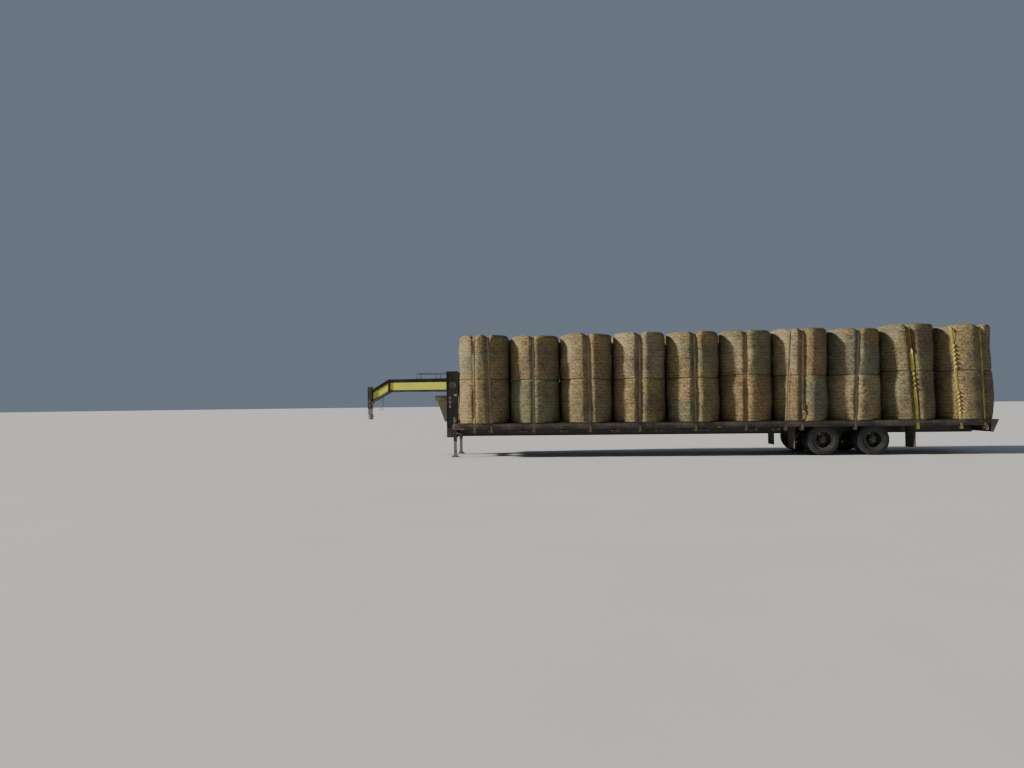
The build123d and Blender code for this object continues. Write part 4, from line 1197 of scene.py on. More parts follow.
@dataclass
class Load(Assembly):
    """Round bales on their ends, two high and two wide, and the straps that press into them.

    A crease is how deep a strap bites, how far the hay stands up beside it, and how wide it is.
    """

    deck_height: float = 0.885
    diameter: float = 1.365
    height: float = 1.170
    gap: float = 0.004
    front_gap: float = 0.010
    shoulder: float = 0.095
    foot: float = 0.045
    bulge: float = 0.014
    far_bulge: float = 0.002
    near_slack: float = 0.010
    far_slack: float = -0.020
    most_swell: float = 0.004
    lump_depth: float = 0.009
    knot_depth: float = 0.0035
    ridge_depth: float = 0.002
    girth_loss: float = 0.012
    crown_sink: float = 0.006
    crown_lumps: float = 0.010
    ring_depth: float = 0.004
    ring_pitch: float = 0.11
    strap_line: float = 1.2645
    strap_sink: float = 0.048
    strap_corner: float = 0.150
    strap_drop: float = 0.198
    strap_thickness: float = 0.003
    side_crease: Point = (0.009, 0.120, 0.088)
    top_crease: Point = (0.007, 0.075, 0.10)
    crease_power: float = 1.25
    ratchet_height: float = 0.24
    litter_line: float = 1.285
    litter_edge: float = 1.31
    steps_round: int = 100
    steps_up: int = 38
    straws_each: int = 1300
    litter_count: int = 9000
    centres: list[tuple[float, float]] = field(default_factory=list)

    def __post_init__(self) -> None:
        """Lays the columns out along the deck."""
        edge = self.places.deck_front + self.front_gap
        for column in COLUMNS:
            radius = (self.diameter + column.lower_diameter) / 2
            self.centres.append((edge + radius, radius))
            edge += 2 * radius + self.gap

    def heights(self, number: int) -> tuple[float, float]:
        """The heights of the lower and the upper bale of a column."""
        column = COLUMNS[number]
        return self.height + column.lower_height, self.height + column.upper_height

    def strap_place(self, plan: StrapPlan, z: np.ndarray | float) -> np.ndarray | float:
        """Where along the wagon a strap lies at a height over the deck."""
        share = (plan.on_top - plan.at_deck) / sum(self.heights(plan.column))
        return self.centres[plan.column][0] + plan.at_deck + share * z

    def strap_top(self, plan: StrapPlan) -> float:
        """How high over the deck a strap crosses its column."""
        return sum(self.heights(plan.column)) - self.strap_sink

    def barrel(self, radius: float, height: float, layer: Layer, bulge: float) -> Shape:
        """A bale's plain form, turned about its upright axis.

        Args:
            radius: Its radius.
            height: Its height.
            layer: The layer it lies in.
            bulge: How far its middle stands out.

        Returns:
            The form, its foot at the origin.
        """
        foot = self.foot
        top = self.shoulder if layer is Layer.UPPER else foot
        side = radius - bulge
        caps, foot_steps, top_steps = 9, 4, 5
        section = [(side * 0.93 * i / caps, 0.0) for i in range(caps)]
        for i in range(foot_steps + 1):
            turn = math.radians(90 * i / foot_steps)
            section.append((side - foot + foot * math.sin(turn), foot * (1 - math.cos(turn))))
        low, high = foot, height - top
        for i in range(1, self.steps_up):
            share = i / self.steps_up
            section.append((side + bulge * math.sin(math.pi * share), low + (high - low) * share))
        for i in range(top_steps + 1):
            turn = math.radians(90 * i / top_steps)
            section.append((side - top + top * math.cos(turn), high + top * math.sin(turn)))
        reach = side - top
        section += [(reach * (1 - i / caps), height) for i in range(1, caps + 1)]
        section = [section[i] for i in range(len(section)) if i == 0 or section[i] != section[i - 1]]
        return turned(section, (0, 0, 0), "Z", self.steps_round)

    def crease_limit(self, line: float, away: np.ndarray, crease: Point) -> np.ndarray:
        """How far out a bale may stand, at distances from the edge of a strap that lies on a line."""
        depth, rise, width = crease
        return line - depth + rise * (1 - np.exp(-((away / width) ** self.crease_power)))

    def crease(self, co: np.ndarray, number: int, outwards: int) -> np.ndarray:
        """Presses a column's straps into the outer side and the top of a bale.

        Args:
            co: The bale's points, in the wagon's place.
            number: The column.
            outwards: -1 for the near row, 1 for the far row.

        Returns:
            The pressed points.
        """
        corner = self.strap_corner
        for plan in (plan for plan in STRAPS if plan.column == number):
            z = co[:, 2] - self.deck_height
            out = co[:, 1] * outwards
            away = np.maximum(np.abs(co[:, 0] - self.strap_place(plan, z)) - plan.width * 0.45, 0)
            side_limit = self.crease_limit(self.strap_line, away, self.side_crease)
            top_limit = self.crease_limit(self.strap_top(plan), away, self.top_crease)
            inner_y, inner_z = side_limit - corner, top_limit - corner
            round_y, round_z = np.maximum(out - inner_y, 0), np.maximum(z - inner_z, 0)
            far = np.hypot(round_y, round_z)
            at_corner = (round_y > 0) & (round_z > 0) & (far > corner)
            scale = np.where(at_corner, corner / np.maximum(far, 1e-6), 1.0)
            new_out = np.where(at_corner, inner_y + round_y * scale, np.minimum(out, side_limit))
            new_z = np.where(at_corner, inner_z + round_z * scale, np.minimum(z, top_limit))
            co[:, 1] = new_out * outwards
            co[:, 2] = new_z + self.deck_height
        return co

    def bale(self, number: int, layer: Layer, side: Side) -> None:
        """Builds one bale with its lumps, net ridges, strap creases, tint and loose straws.

        Args:
            number: The column.
            layer: The layer.
            side: The side of the wagon.
        """
        row, near, above = side.value, side is Side.NEAR, layer is Layer.UPPER
        looks = UPPER_LOOKS if above else LOWER_LOOKS
        look = looks[number if near else (number * 3 + 4) % len(looks)]
        rng = np.random.default_rng(100 * number + 10 * (row + 1) + (1 if above else 5))
        lower, upper = self.heights(number)
        centre, lower_radius = self.centres[number]
        column = COLUMNS[number]
        radius = (self.diameter + (column.upper_diameter if above else column.lower_diameter)) / 2
        height = upper if above else lower
        slack, bulge = (self.near_slack, self.bulge) if near else (self.far_slack, self.far_bulge)
        mesh = mesh_of(self.barrel(radius, height, layer, bulge), "bale")
        self.map_wrap(mesh, radius, row)
        co = read(mesh.vertices, "co")
        angle = np.arctan2(co[:, 1], co[:, 0])
        z = co[:, 2].copy()
        wide = np.hypot(co[:, 0], co[:, 1])
        on_side = smoothstep(wide, radius * 0.80, radius * 0.97)
        arch = np.sin(math.pi * z / height)
        lumps = waves(angle, z, rng, 7, 1.6)
        knots = waves(angle, z, rng, 26, 9.0)
        ridge = np.sin(z * TURN / NET_PITCH + 1.5 * np.sin(angle * 2 + number))
        dent = slack - self.lump_depth * lumps - self.knot_depth * knots - self.ridge_depth * ridge
        shift = -np.maximum(dent, -self.most_swell) * on_side
        co[:, 0] += np.cos(angle) * shift
        co[:, 1] += np.sin(angle) * shift
        if look.belly < 0:
            co[:, :2] *= (1 - self.girth_loss * arch)[:, None]
        swell = look.belly * np.sin(math.pi * np.clip(z / height, 0, 1)) ** 2
        co[:, 0] += swell * smoothstep(-np.cos(angle), -0.3, 0.8) * on_side
        co[:, 0] += look.lean * arch
        if above:
            crown = smoothstep(z, height * 0.6, height)
            uneven = self.crown_lumps * waves(angle, wide * 2, rng, 3, 0.7) * (wide / radius)
            co[:, 2] += crown * (uneven - self.crown_sink)
            rings = self.ring_depth * np.sin(wide * TURN / self.ring_pitch + angle)
            co[:, 2] += rings * (z > height - 1e-3)
        base = self.deck_height + (lower if above else 0.0)
        co += np.array((centre, row * (lower_radius + self.gap / 2), base))
        set_co(mesh, self.crease(co, number, row))
        set_tint(mesh, self.tint(look, angle, z / height, row, rng))
        part = f"{layer.value}_{side.name.lower()}_{number + 1:02d}"
        finish_mesh(f"bale_{part}", mesh, [self.wardrobe["hay"]], replaces=[f"bales_{layer.value}"])
        self.loose_straws(f"straws_{part}", mesh, row, look, rng)

    @staticmethod
    def tint(look: BaleLook, angle: np.ndarray, share: np.ndarray, row: int, rng: Chance) -> np.ndarray:
        """The colour of each point of a bale, with its patch and a little unevenness.

        Args:
            look: The bale's look.
            angle: The points' angles round the bale.
            share: Their heights as shares of the bale's.
            row: -1 for the near row, 1 for the far row.
            rng: The seeded source of chance.

        Returns:
            The colours.
        """
        main, patch = np.array(look.main.value), np.array(look.patch.value)
        middle = math.radians(look.turn) * -row
        apart = np.abs(np.angle(np.exp(1j * (angle - middle))))
        ragged = 0.35 * waves(angle, share, rng, 9, 2.5)
        edge = 0.13
        band = smoothstep(share, look.low - edge, look.low + edge)
        band *= 1 - smoothstep(share, look.high - edge, look.high + edge)
        cover = band * (1 - smoothstep(apart + ragged, 0.45, 1.05))
        # Partly painted light and shade: the patch is hay of another colour, and it is also lighter towards
        # the key light and darker in its shade, as the look tables set it.
        tone = main + (patch - main) * cover[:, None]
        level = 1 + 0.10 * waves(angle, share, rng, 4, 1.5)
        warm = 0.05 * waves(angle, share, rng, 6, 2.0)
        tone = tone * level[:, None] * np.stack([1 + warm, np.ones_like(warm), 1 - warm], 1)
        return np.clip(tone, 0.01, 0.9)

    @staticmethod
    def map_wrap(mesh: Mesh, radius: float, row: int) -> None:
        """Maps the bale's surface in metres: round it, and up it or in from its rim.

        Args:
            mesh: The bale's mesh.
            radius: Its radius.
            row: -1 for the near row, 1 for the far row.
        """
        co = read(mesh.vertices, "co")
        height = co[:, 2].max()
        sizes = read(mesh.polygons, "loop_total", np.int32, 1)
        middles = np.repeat(read(mesh.polygons, "center"), sizes, axis=0)
        at = co[corner_points(mesh)]
        centre = np.arctan2(middles[:, 1], middles[:, 0])
        wide = np.hypot(at[:, 0], at[:, 1])
        own = np.where(wide > 1e-4, np.arctan2(at[:, 1], at[:, 0]), centre)
        middle = np.mod(centre + math.pi / 2 * row, TURN)
        turn = middle + np.angle(np.exp(1j * (own - centre)))
        inwards = radius - wide
        up = at[:, 2] + np.where(at[:, 2] > height * 0.5, inwards, -inwards)
        set_uv(mesh, WRAP, [turn * radius, up])

    def loose_straws(self, name: str, bale: Mesh, row: int, look: BaleLook, rng: Chance) -> None:
        """Thin blades of straw that stand off the bale's skin.

        Args:
            name: The piece's name.
            bale: The bale's mesh.
            row: -1 for the near row, 1 for the far row.
            look: The bale's look.
            rng: The seeded source of chance.
        """
        count = self.straws_each
        normals = read(bale.vertex_normals, "vector", np.float32).astype(np.float64)
        seen = (normals[:, 1] * row > -0.25) & (normals[:, 2] > -0.5)
        chosen = rng.choice(np.flatnonzero(seen), count)
        origin, out = read(bale.vertices, "co")[chosen], normals[chosen]
        flat = np.cross(out, rng.normal(0, 0.28, (count, 3)) + np.array([0, 0, 1.0]))
        upright = np.abs(out[:, 2]) > 0.8
        flat[upright] = rng.normal(0, 1, (upright.sum(), 3))
        flat -= out * np.sum(flat * out, 1)[:, None]
        flat /= np.maximum(np.linalg.norm(flat, axis=1), 1e-6)[:, None]
        length = rng.uniform(0.025, 0.085, count)[:, None]
        across = np.cross(out, flat) * rng.uniform(0.0012, 0.0028, count)[:, None]
        start = origin + out * 0.001
        end = start + flat * length + out * rng.uniform(0.0, 0.014, count)[:, None]
        corners = [start - across, end - across * 0.4, end + across * 0.4, start + across]
        base = np.array(look.main.value) * 0.5 + np.array(HayTone.PALE.value) * 0.5
        colours = np.clip(base * rng.uniform(0.45, 1.25, count)[:, None], 0.02, 0.9)
        blades(name, corners, colours, self.wardrobe["straw"])

    def strap_point(self, half: float, top: float, run: np.ndarray) -> tuple[np.ndarray, ...]:
        """The strap's middle line: up the near side, over the load and down the far side.

        Args:
            half: How far out the line stands.
            top: How high over the deck it crosses.
            run: Distances along the line from its near-side end.

        Returns:
            Each point's place across and over the deck, and the way it faces, as an angle
            from the near side's outward direction over the top.
        """
        corner = self.strap_corner
        up = top + self.strap_drop - corner
        bend = math.pi / 2 * corner
        total = 2 * up + 2 * bend + 2 * (half - corner)
        back = run > total / 2
        s = np.where(back, total - run, run)
        turn = np.clip((s - up) / corner, 0, math.pi / 2)
        y = -(half - corner) - corner * np.cos(turn) + np.maximum(s - up - bend, 0)
        z = np.minimum(s, up) - self.strap_drop + corner * np.sin(turn)
        return np.where(back, -y, y), z, np.where(back, math.pi - turn, turn)

    def strap(self, number: int, plan: StrapPlan) -> None:
        """Builds one webbing strap as a bent ribbon, with twists where it has them.

        Args:
            number: The strap's number.
            plan: Its place and look.
        """
        half = self.strap_line + self.strap_thickness / 2
        top = self.strap_top(plan) + self.strap_thickness / 2
        corner = self.strap_corner
        total = 2 * (top + self.strap_drop - corner) + math.pi * corner + 2 * (half - corner)
        bm = bmesh.new()
        steps = 640 if plan.twist else 240
        bmesh.ops.create_grid(bm, x_segments=4, y_segments=steps, size=0.5, calc_uvs=False)
        mesh = mesh_of(bm, "strap")
        grid = read(mesh.vertices, "co")
        run = (grid[:, 1] + 0.5) * total
        wide = grid[:, 0] * plan.width
        y, z, facing = self.strap_point(half, top, run)
        climb = smoothstep(z, 0.10, 0.35) * (1 - smoothstep(z, top - 0.12, top - 0.02))
        levels, turns = zip(*plan.twist) if plan.twist else ((0.0,), (0.0,))
        twist = math.pi * np.interp(z, levels, turns)
        hang = np.abs(np.sin(twist)) * climb * plan.width * 0.5
        start = np.random.default_rng(900 + number).uniform(0, 6)
        flutter = 0.05 * np.sin(run * 9 + start) * (0 if plan.twist else 1)
        push = np.sin(twist + flutter) * wide + hang
        x = self.strap_place(plan, z) + np.cos(twist + flutter) * wide
        height = z + np.sin(facing) * push + self.deck_height
        set_co(mesh, np.stack([x, y - np.cos(facing) * push, height], 1))
        points = corner_points(mesh)
        set_uv(mesh, WEAVE, [wide[points], run[points]])
        material = self.wardrobe.webbing(plan.tone, plan.width)
        obj = finish_mesh(f"strap_{number + 1:02d}", mesh, [material], replaces=["load_straps"])
        thick = obj.modifiers.new("webbing thickness", "SOLIDIFY")
        thick.thickness = self.strap_thickness
        thick.offset = 0.0

    def ratchet(self) -> None:
        """The ratchet and its roll of spare webbing on the near side of the brown strap."""
        x = float(self.strap_place(RATCHET_STRAP, self.ratchet_height))
        y = -self.strap_line - 0.010
        z = self.deck_height + self.ratchet_height
        wide = RATCHET_STRAP.width / 2 + 0.004
        spare = self.wardrobe.webbing(RATCHET_STRAP.tone, RATCHET_STRAP.width)
        piece = Piece("strap_ratchet", [self.wardrobe["worn"], spare])
        for side in (-1, 1):
            a, b = sorted((x + side * wide, x + side * (wide + 0.004)))
            piece.take(plate((a, y - 0.035, z - 0.09), (b, y, z + 0.11), 0.001))
            piece.take(plate((a, y - 0.075, z), (b, y - 0.036, z + 0.19), 0.001))
            piece.take(turned(disc(0.028, a, b), (0, y - 0.035, z), "X", 14))
        for over, out, up, radius, sides in ((0.0, 0.072, 0.18, 0.009, 10), (0.008, 0.035, 0.0, 0.012, 12)):
            a, b = x - wide - over, x + wide + over
            piece.take(rod((a, y - out, z + up), (b, y - out, z + up), radius, sides))
        piece.take(turned(roll(0.014, 0.042, 0.046, wide - 0.003), (x, y - 0.04, z - 0.012), "X", 20), 1)
        for dx, out, up in ((-0.01, 0.05, 0.05), (0.03, 0.07, -0.04), (0.02, 0.05, -0.13)):
            low = (x + dx - 0.024, y - out, z + up - 0.05)
            piece.take(plate(low, (low[0] + 0.048, low[1] + 0.003, low[2] + 0.1), 0.001), 1)
        piece.done("worn_steel")

    def litter(self) -> None:
        """Loose hay along the edges of the deck and between the bales."""
        count = self.litter_count
        rng = np.random.default_rng(7)
        floor = self.deck_height + 0.001
        deck = self.places.deck_rear - self.places.deck_front
        x = self.places.deck_front + rng.uniform(0.02, deck - 0.02, count)
        edge = rng.random(count) < 0.8
        inwards = np.abs(rng.normal(0, 0.12, count))
        reach = np.where(edge, self.litter_line - inwards, rng.uniform(0, 1.2, count))
        y = reach * rng.choice([-1, 1], count)
        z = floor + np.abs(rng.normal(0, 0.011, count))
        heading = rng.uniform(0, TURN, count)
        length = rng.uniform(0.03, 0.10, count)[:, None]
        width = rng.uniform(0.0012, 0.003, count)[:, None]
        ahead = np.stack([np.cos(heading), np.sin(heading), rng.normal(0.04, 0.05, count)], 1) * length
        aside = np.stack([-np.sin(heading), np.cos(heading), np.zeros(count)], 1) * width
        origin = np.stack([x, y, z], 1)
        corners = [origin - aside, origin + ahead - aside, origin + ahead + aside, origin + aside]
        for corner in corners:
            corner[:, 1] = np.clip(corner[:, 1], -self.litter_edge, self.litter_edge)
            corner[:, 2] = np.maximum(corner[:, 2], floor)
        shades = np.array([tone.value for tone in (HayTone.PALE, HayTone.GOLDEN, HayTone.TAN)])
        colours = shades[rng.integers(0, 3, count)] * rng.uniform(0.6, 1.2, count)[:, None]
        blades("hay_litter", corners, colours, self.wardrobe["straw"])

    def build(self) -> None:
        """Builds the whole load."""
        for number in range(len(COLUMNS)):
            for layer in Layer:
                for side in Side:
                    self.bale(number, layer, side)
        for number, plan in enumerate(STRAPS):
            self.strap(number, plan)
        self.ratchet()
        self.litter()


# The wagon's own trim

NODE_FINISHES = {
    "rail": ("side_rail", "rub_rail", "stake_pockets", "front_header", "rear_"),
    "under": ("crossmembers", "spring_hangers", "wheel_outriggers"),
    "wood": ("deck_planks",),
    "cap": ("tool_box_lid",),
    "olive": ("tool_box",),
    "steel": ("axle", "leaf_springs", "equalizers", "winches"),
    "worn": ("jack_legs", "jack_drive", "coupler_inner"),
    "rim": ("hub_rims",),
    "tyre": ("tyres",),
    "flap": ("mud_flaps",),
    "lamp": ("lamps",),
}


def dress_nodes(nodes: dict[str, bpy.types.Object], wardrobe: Wardrobe) -> None:
    """Gives every CAD node its finish; what the table doesn't name is black.

    Args:
        nodes: The CAD nodes by name.
        wardrobe: The finishes.
    """
    for name, obj in nodes.items():
        key = next((finish for finish, starts in NODE_FINISHES.items() if name.startswith(starts)), "black")
        obj.data.materials.clear()
        obj.data.materials.append(wardrobe[key])
        LOG.info("%s: %s", name, key)


@dataclass
class Wheels(Assembly):
    """Treaded tyres, lug nuts, hub bolts and valve stems of the four twin stations."""

    dual_centre: float = 0.945
    dual_spacing: float = 0.265
    disc_half: float = 0.012
    stud_circle: float = 0.118
    bolt_circle: float = 0.074
    stud_count: int = 8
    hub_end: float = 0.145
    cap_length: float = 0.060
    crown: float = 0.395
    groove_depth: float = 0.009
    steps_round: int = 84

    def tyre_section(self) -> Section:
        """Half of the tyre's outline from bead to crown, as (radius, half width).

        Returns:
            The outline's points.
        """
        deep = self.crown - self.groove_depth
        wall = [
            (0.2150, 0.0660), (0.2150, 0.0745), (0.2370, 0.0762), (0.2430, 0.0815), (0.2520, 0.0895),
            (0.2640, 0.0975), (0.2780, 0.1030), (0.2920, 0.1058), (0.2945, 0.1072), (0.2990, 0.1073),
            (0.3010, 0.1064), (0.3200, 0.1060), (0.3360, 0.1040), (0.3385, 0.1050), (0.3430, 0.1047),
            (0.3450, 0.1032), (0.3590, 0.0998), (0.3700, 0.0962), (0.3880, 0.0900), (0.3940, 0.0850),
            (self.crown, 0.0790),
        ]
        for middle in (0.0560, 0.0190):
            wall += [(self.crown, middle + 0.0045), (deep, middle + 0.0030)]
            wall += [(deep, middle - 0.0030), (self.crown, middle - 0.0045)]
        return wall

    def tyre(self, place: Point) -> Shape:
        """One tyre with circumferential grooves and notched shoulders.

        Args:
            place: The tyre's middle.

        Returns:
            The tyre.
        """
        half = self.tyre_section()
        bm = turned(half + [(r, -w) for r, w in half[::-1]] + [half[0]], (0, 0, 0), "Y", self.steps_round)
        step = TURN / self.steps_round
        notches = []
        for face in bm.faces:
            middle = face.calc_center_median()
            radius = math.hypot(middle.x, middle.z)
            number = math.floor((math.atan2(middle.z, middle.x) + math.pi) / step)
            if 0.371 < radius < 0.389 and abs(middle.y) > 0.085 and number % 2:
                notches.append(face)
        bmesh.ops.inset_individual(bm, faces=notches, thickness=0.0022, depth=-0.005)
        return moved(bm, Matrix.Translation(place))

    def station(self, end: str, x: float, side: Side) -> None:
        """Builds the tyres and the small parts of one twin station.

        Args:
            end: "front" or "rear".
            x: The axle's place.
            side: The side of the wagon.
        """
        part = f"{end}_{'left' if side is Side.NEAR else 'right'}"
        row, z = side.value, self.places.axle_height
        tyres = self.piece(f"treaded_tyres_{part}", "tyre")
        for offset in (-0.5, 0.5):
            tyres.take(self.tyre((x, row * (self.dual_centre + offset * self.dual_spacing), z)))
        tyres.done("tyre_rubber", f"wheel_{part}", [f"tyres_{part}"], 35.0)
        small = self.piece(f"wheel_nuts_{part}", "worn", "black")
        face = row * (self.dual_centre + self.disc_half)
        for px, pz in ring_places(x, z, self.stud_circle, self.stud_count):
            small.take(nut((px, face, pz), 0.0145, 0.022, "Y", row))
            small.take(rod((px, face, pz), (px, face + row * 0.034, pz), 0.0075, 8, 0.001))
        hub = row * (self.dual_centre + self.hub_end)
        for px, pz in ring_places(x, z, self.bolt_circle, self.stud_count, 0.0):
            small.take(nut((px, hub, pz), 0.0075, 0.007, "Y", row))
        ring = [(0.0, 0.0), (0.030, 0.0), (0.030, row * 0.008), (0.022, row * 0.012), (0.0, row * 0.012)]
        small.take(turned(ring, (x, hub + row * self.cap_length, z), "Y", 20), 1)
        valve = [(x + 0.186, face, z), (x + 0.186, face + row * 0.03, z), (x + 0.180, face + row * 0.06, z)]
        small.take(bent_rod(valve, 0.004, 6), 1)
        small.done("worn_steel", f"wheel_{part}")

    def build(self) -> None:
        """Builds the four stations."""
        for end, x in zip(("front", "rear"), self.places.axles):
            for side in Side:
                self.station(end, x, side)


@dataclass
class Gooseneck(Assembly):
    """Yellow web panels, tape, conduit and hanging chains of the neck and its risers."""

    neck_top: float = 2.090
    neck_depth: float = 0.340
    flange: float = 0.012
    level_length: float = 1.610
    slope_length: float = 0.487
    slope: float = 30.0
    front_offset: float = 0.120
    web_half: float = 0.004
    panel_thickness: float = 0.002
    panel_top_gap: float = 0.086
    panel_foot_gap: float = 0.034
    panel_end_gap: float = 0.030
    panel_rear_gap: float = 0.012
    tape_low: float = 1.300
    tape_high: float = 1.600
    tape_cells: int = 5
    tape_setback: float = 0.085
    tape_half: float = 0.025
    conduit_clips: tuple[float, ...] = (1.02, 1.24, 1.46)
    clamp_bolts: tuple[float, ...] = (1.38, 1.50)
    tie_setback: float = 0.154
    tie_height: float = 1.906
    chain_ahead: float = 1.860
    chain_links: int = 8
    chain_pitch: float = 0.0325
    post_half: float = 0.0635

    def turn(self) -> float:
        """The neck beam's angle in plan."""
        return math.atan2(self.places.beam_offset - self.front_offset, self.level_length + self.slope_length)

    def on_neck(self, shape: Shape) -> Shape:
        """Lays a shape, drawn along the beam from the riser forwards, on the far-side beam."""
        place = Matrix.Translation((self.places.riser_front, self.places.beam_offset, 0))
        return moved(shape, place @ Matrix.Rotation(self.turn(), 4, "Z"))

    def bend(self) -> float:
        """Where the beam bends, along its own line."""
        return -self.level_length / math.cos(self.turn())

    def fall(self, x: float) -> float:
        """How far the neck has come down at a place along its own line."""
        return max(self.bend() - x, 0.0) * math.tan(math.radians(self.slope)) * math.cos(self.turn())

    def web_edges(self) -> tuple[float, float]:
        """The inner faces of the neck beam's flanges on its level stretch."""
        return self.neck_top - self.neck_depth + self.flange, self.neck_top - self.flange

    def panel(self, start: float, end: float) -> Shape:
        """A bare panel on the web between two places along the beam.

        Args:
            start: Where its rear end is.
            end: Where its front end is.

        Returns:
            The panel.
        """
        foot, head = self.web_edges()
        low, high = foot + self.panel_foot_gap, head - self.panel_top_gap
        points = [(start, low), (start, high), (end, high), (end, low)]
        placed = [(x, z - self.fall(x)) for x, z in points]
        return self.on_neck(outline_plate(placed, self.web_half, self.panel_thickness, 0.0006))

    def panels(self) -> None:
        """Builds the yellow panels and the black stiffeners at the bend."""
        piece = self.piece("neck_panels", "yellow", "black")
        bend, gap = self.bend(), self.panel_end_gap
        piece.take_both(self.panel(-self.panel_rear_gap, bend + gap))
        piece.take_both(self.panel(bend - gap, bend + gap - self.slope_length / math.cos(self.turn())))
        low, high = self.web_edges()
        stiffener = plate((bend - 0.005, self.web_half, low), (bend + 0.005, 0.047, high), 0.001)
        piece.take_both(self.on_neck(stiffener), 1)
        piece.done("neck_paint")

    @staticmethod
    def link(place: Point, crossed: bool) -> Shape:
        """One oval chain link.

        Args:
            place: Its middle.
            crossed: Whether it is turned a quarter.

        Returns:
            The link.
        """
        count, bow, straight = 12, 0.0105, 0.010
        points = []
        for i in range(count):
            turn = TURN * (i + 0.5) / count
            rise = bow * math.sin(turn) + math.copysign(straight, math.sin(turn))
            points.append((bow * math.cos(turn), 0.0, rise))
        quarter = Matrix.Rotation(math.radians(90 if crossed else 0), 4, "Z")
        return moved(bent_rod(points, 0.0042, 6, True), Matrix.Translation(place) @ quarter)

    def chains(self) -> None:
        """Builds a safety chain with its hook under each side of the neck."""
        piece = self.piece("neck_chains", "worn")
        x = self.places.riser_front - self.chain_ahead
        fall = (self.chain_ahead - self.level_length) * math.tan(math.radians(self.slope))
        top = self.neck_top - self.neck_depth - fall
        low = top - 0.036 - self.chain_pitch * self.chain_links
        for side in Side:
            y = side.value * (self.places.beam_offset - self.chain_ahead * math.tan(self.turn()))
            piece.take(plate((x - 0.016, y - 0.004, top - 0.030), (x + 0.016, y + 0.004, top), 0.001))
            for i in range(self.chain_links):
                piece.take(self.link((x, y, top - 0.036 - self.chain_pitch * i), i % 2 == 0))
            hook = (
                (0.0, 0.020), (0.0, -0.015), (0.018, -0.040),
                (0.004, -0.066), (-0.022, -0.056), (-0.026, -0.030),
            )
            piece.take(bent_rod([(x + dx, y, low + dz) for dx, dz in hook], 0.007, 8))
        piece.done("worn_steel", sharp=50.0)

    def riser_trim(self) -> None:
        """Builds the tape strips, conduits, clips and plates on the risers."""
        p = self.places
        web = p.beam_offset + self.web_half
        piece = self.piece("riser_trim", "tape", "red", "conduit", "olive", "white")
        middle = p.riser_front + self.tape_setback
        step = (self.tape_high - self.tape_low) / self.tape_cells
        for i in range(self.tape_cells):
            z = self.tape_low + step * i
            low = (middle - self.tape_half, web, z)
            high = (middle + self.tape_half, web + 0.0015, z + step)
            piece.take_both(plate(low, high, 0.0003), i % 2)
        piece.take_both(plate((middle + 0.105, web, 1.620), (middle + 0.180, web + 0.003, 1.665), 0.0005), 4)
        cap = [(0.0, 0.0), (0.097, 0.0), (0.097, 0.005), (0.084, 0.007), (0.076, 0.003), (0.0, 0.003)]
        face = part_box("riser_cross_members")[1].y
        piece.take_both(turned(cap, (p.riser_front + self.tie_setback, face, self.tie_height), "Y", 40), 3)
        x = p.riser_rear + 0.014
        run = ((0.030, 0.930), (0.030, 1.560), (0.020, 1.600), (-0.010, 1.620))
        piece.take_both(bent_rod([(x, web + out, z) for out, z in run], 0.0125, 10), 2)
        for z in self.conduit_clips:
            piece.take_both(plate((x - 0.014, web + 0.012, z), (x + 0.014, web + 0.046, z + 0.018), 0.001), 2)
        piece.done("black_paint")

    def coupler_trim(self) -> None:
        """Builds the clamp bolts of the sliding post and the latch on the ball head."""
        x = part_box("coupler_outer")[0].x + self.post_half
        piece = self.piece("coupler_trim", "worn", "bright")
        for z in self.clamp_bolts:
            for side in Side:
                y = side.value * self.post_half
                piece.take(nut((x, y, z), 0.017, 0.014, "Y", side.value))
                piece.take(rod((x, y, z), (x, y + side.value * 0.040, z), 0.010, 12, 0.001), 1)
                piece.take(nut((x, y + side.value * 0.018, z), 0.0155, 0.013, "Y", side.value), 1)
        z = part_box("coupler_inner")[0].z + 0.075
        piece.take(turned([(0.075, 0.0), (0.079, 0.002), (0.079, 0.022), (0.075, 0.024)], (x, 0, z), "Z", 40))
        latch = [(x + 0.070, -0.02, z + 0.01), (x + 0.115, -0.035, z + 0.01), (x + 0.125, -0.085, z + 0.02)]
        piece.take(bent_rod(latch, 0.008, 10), 1)
        piece.done("worn_steel")

    def build(self) -> None:
        """Builds the neck's and the risers' trim."""
        self.panels()
        self.chains()
        self.riser_trim()
        self.coupler_trim()


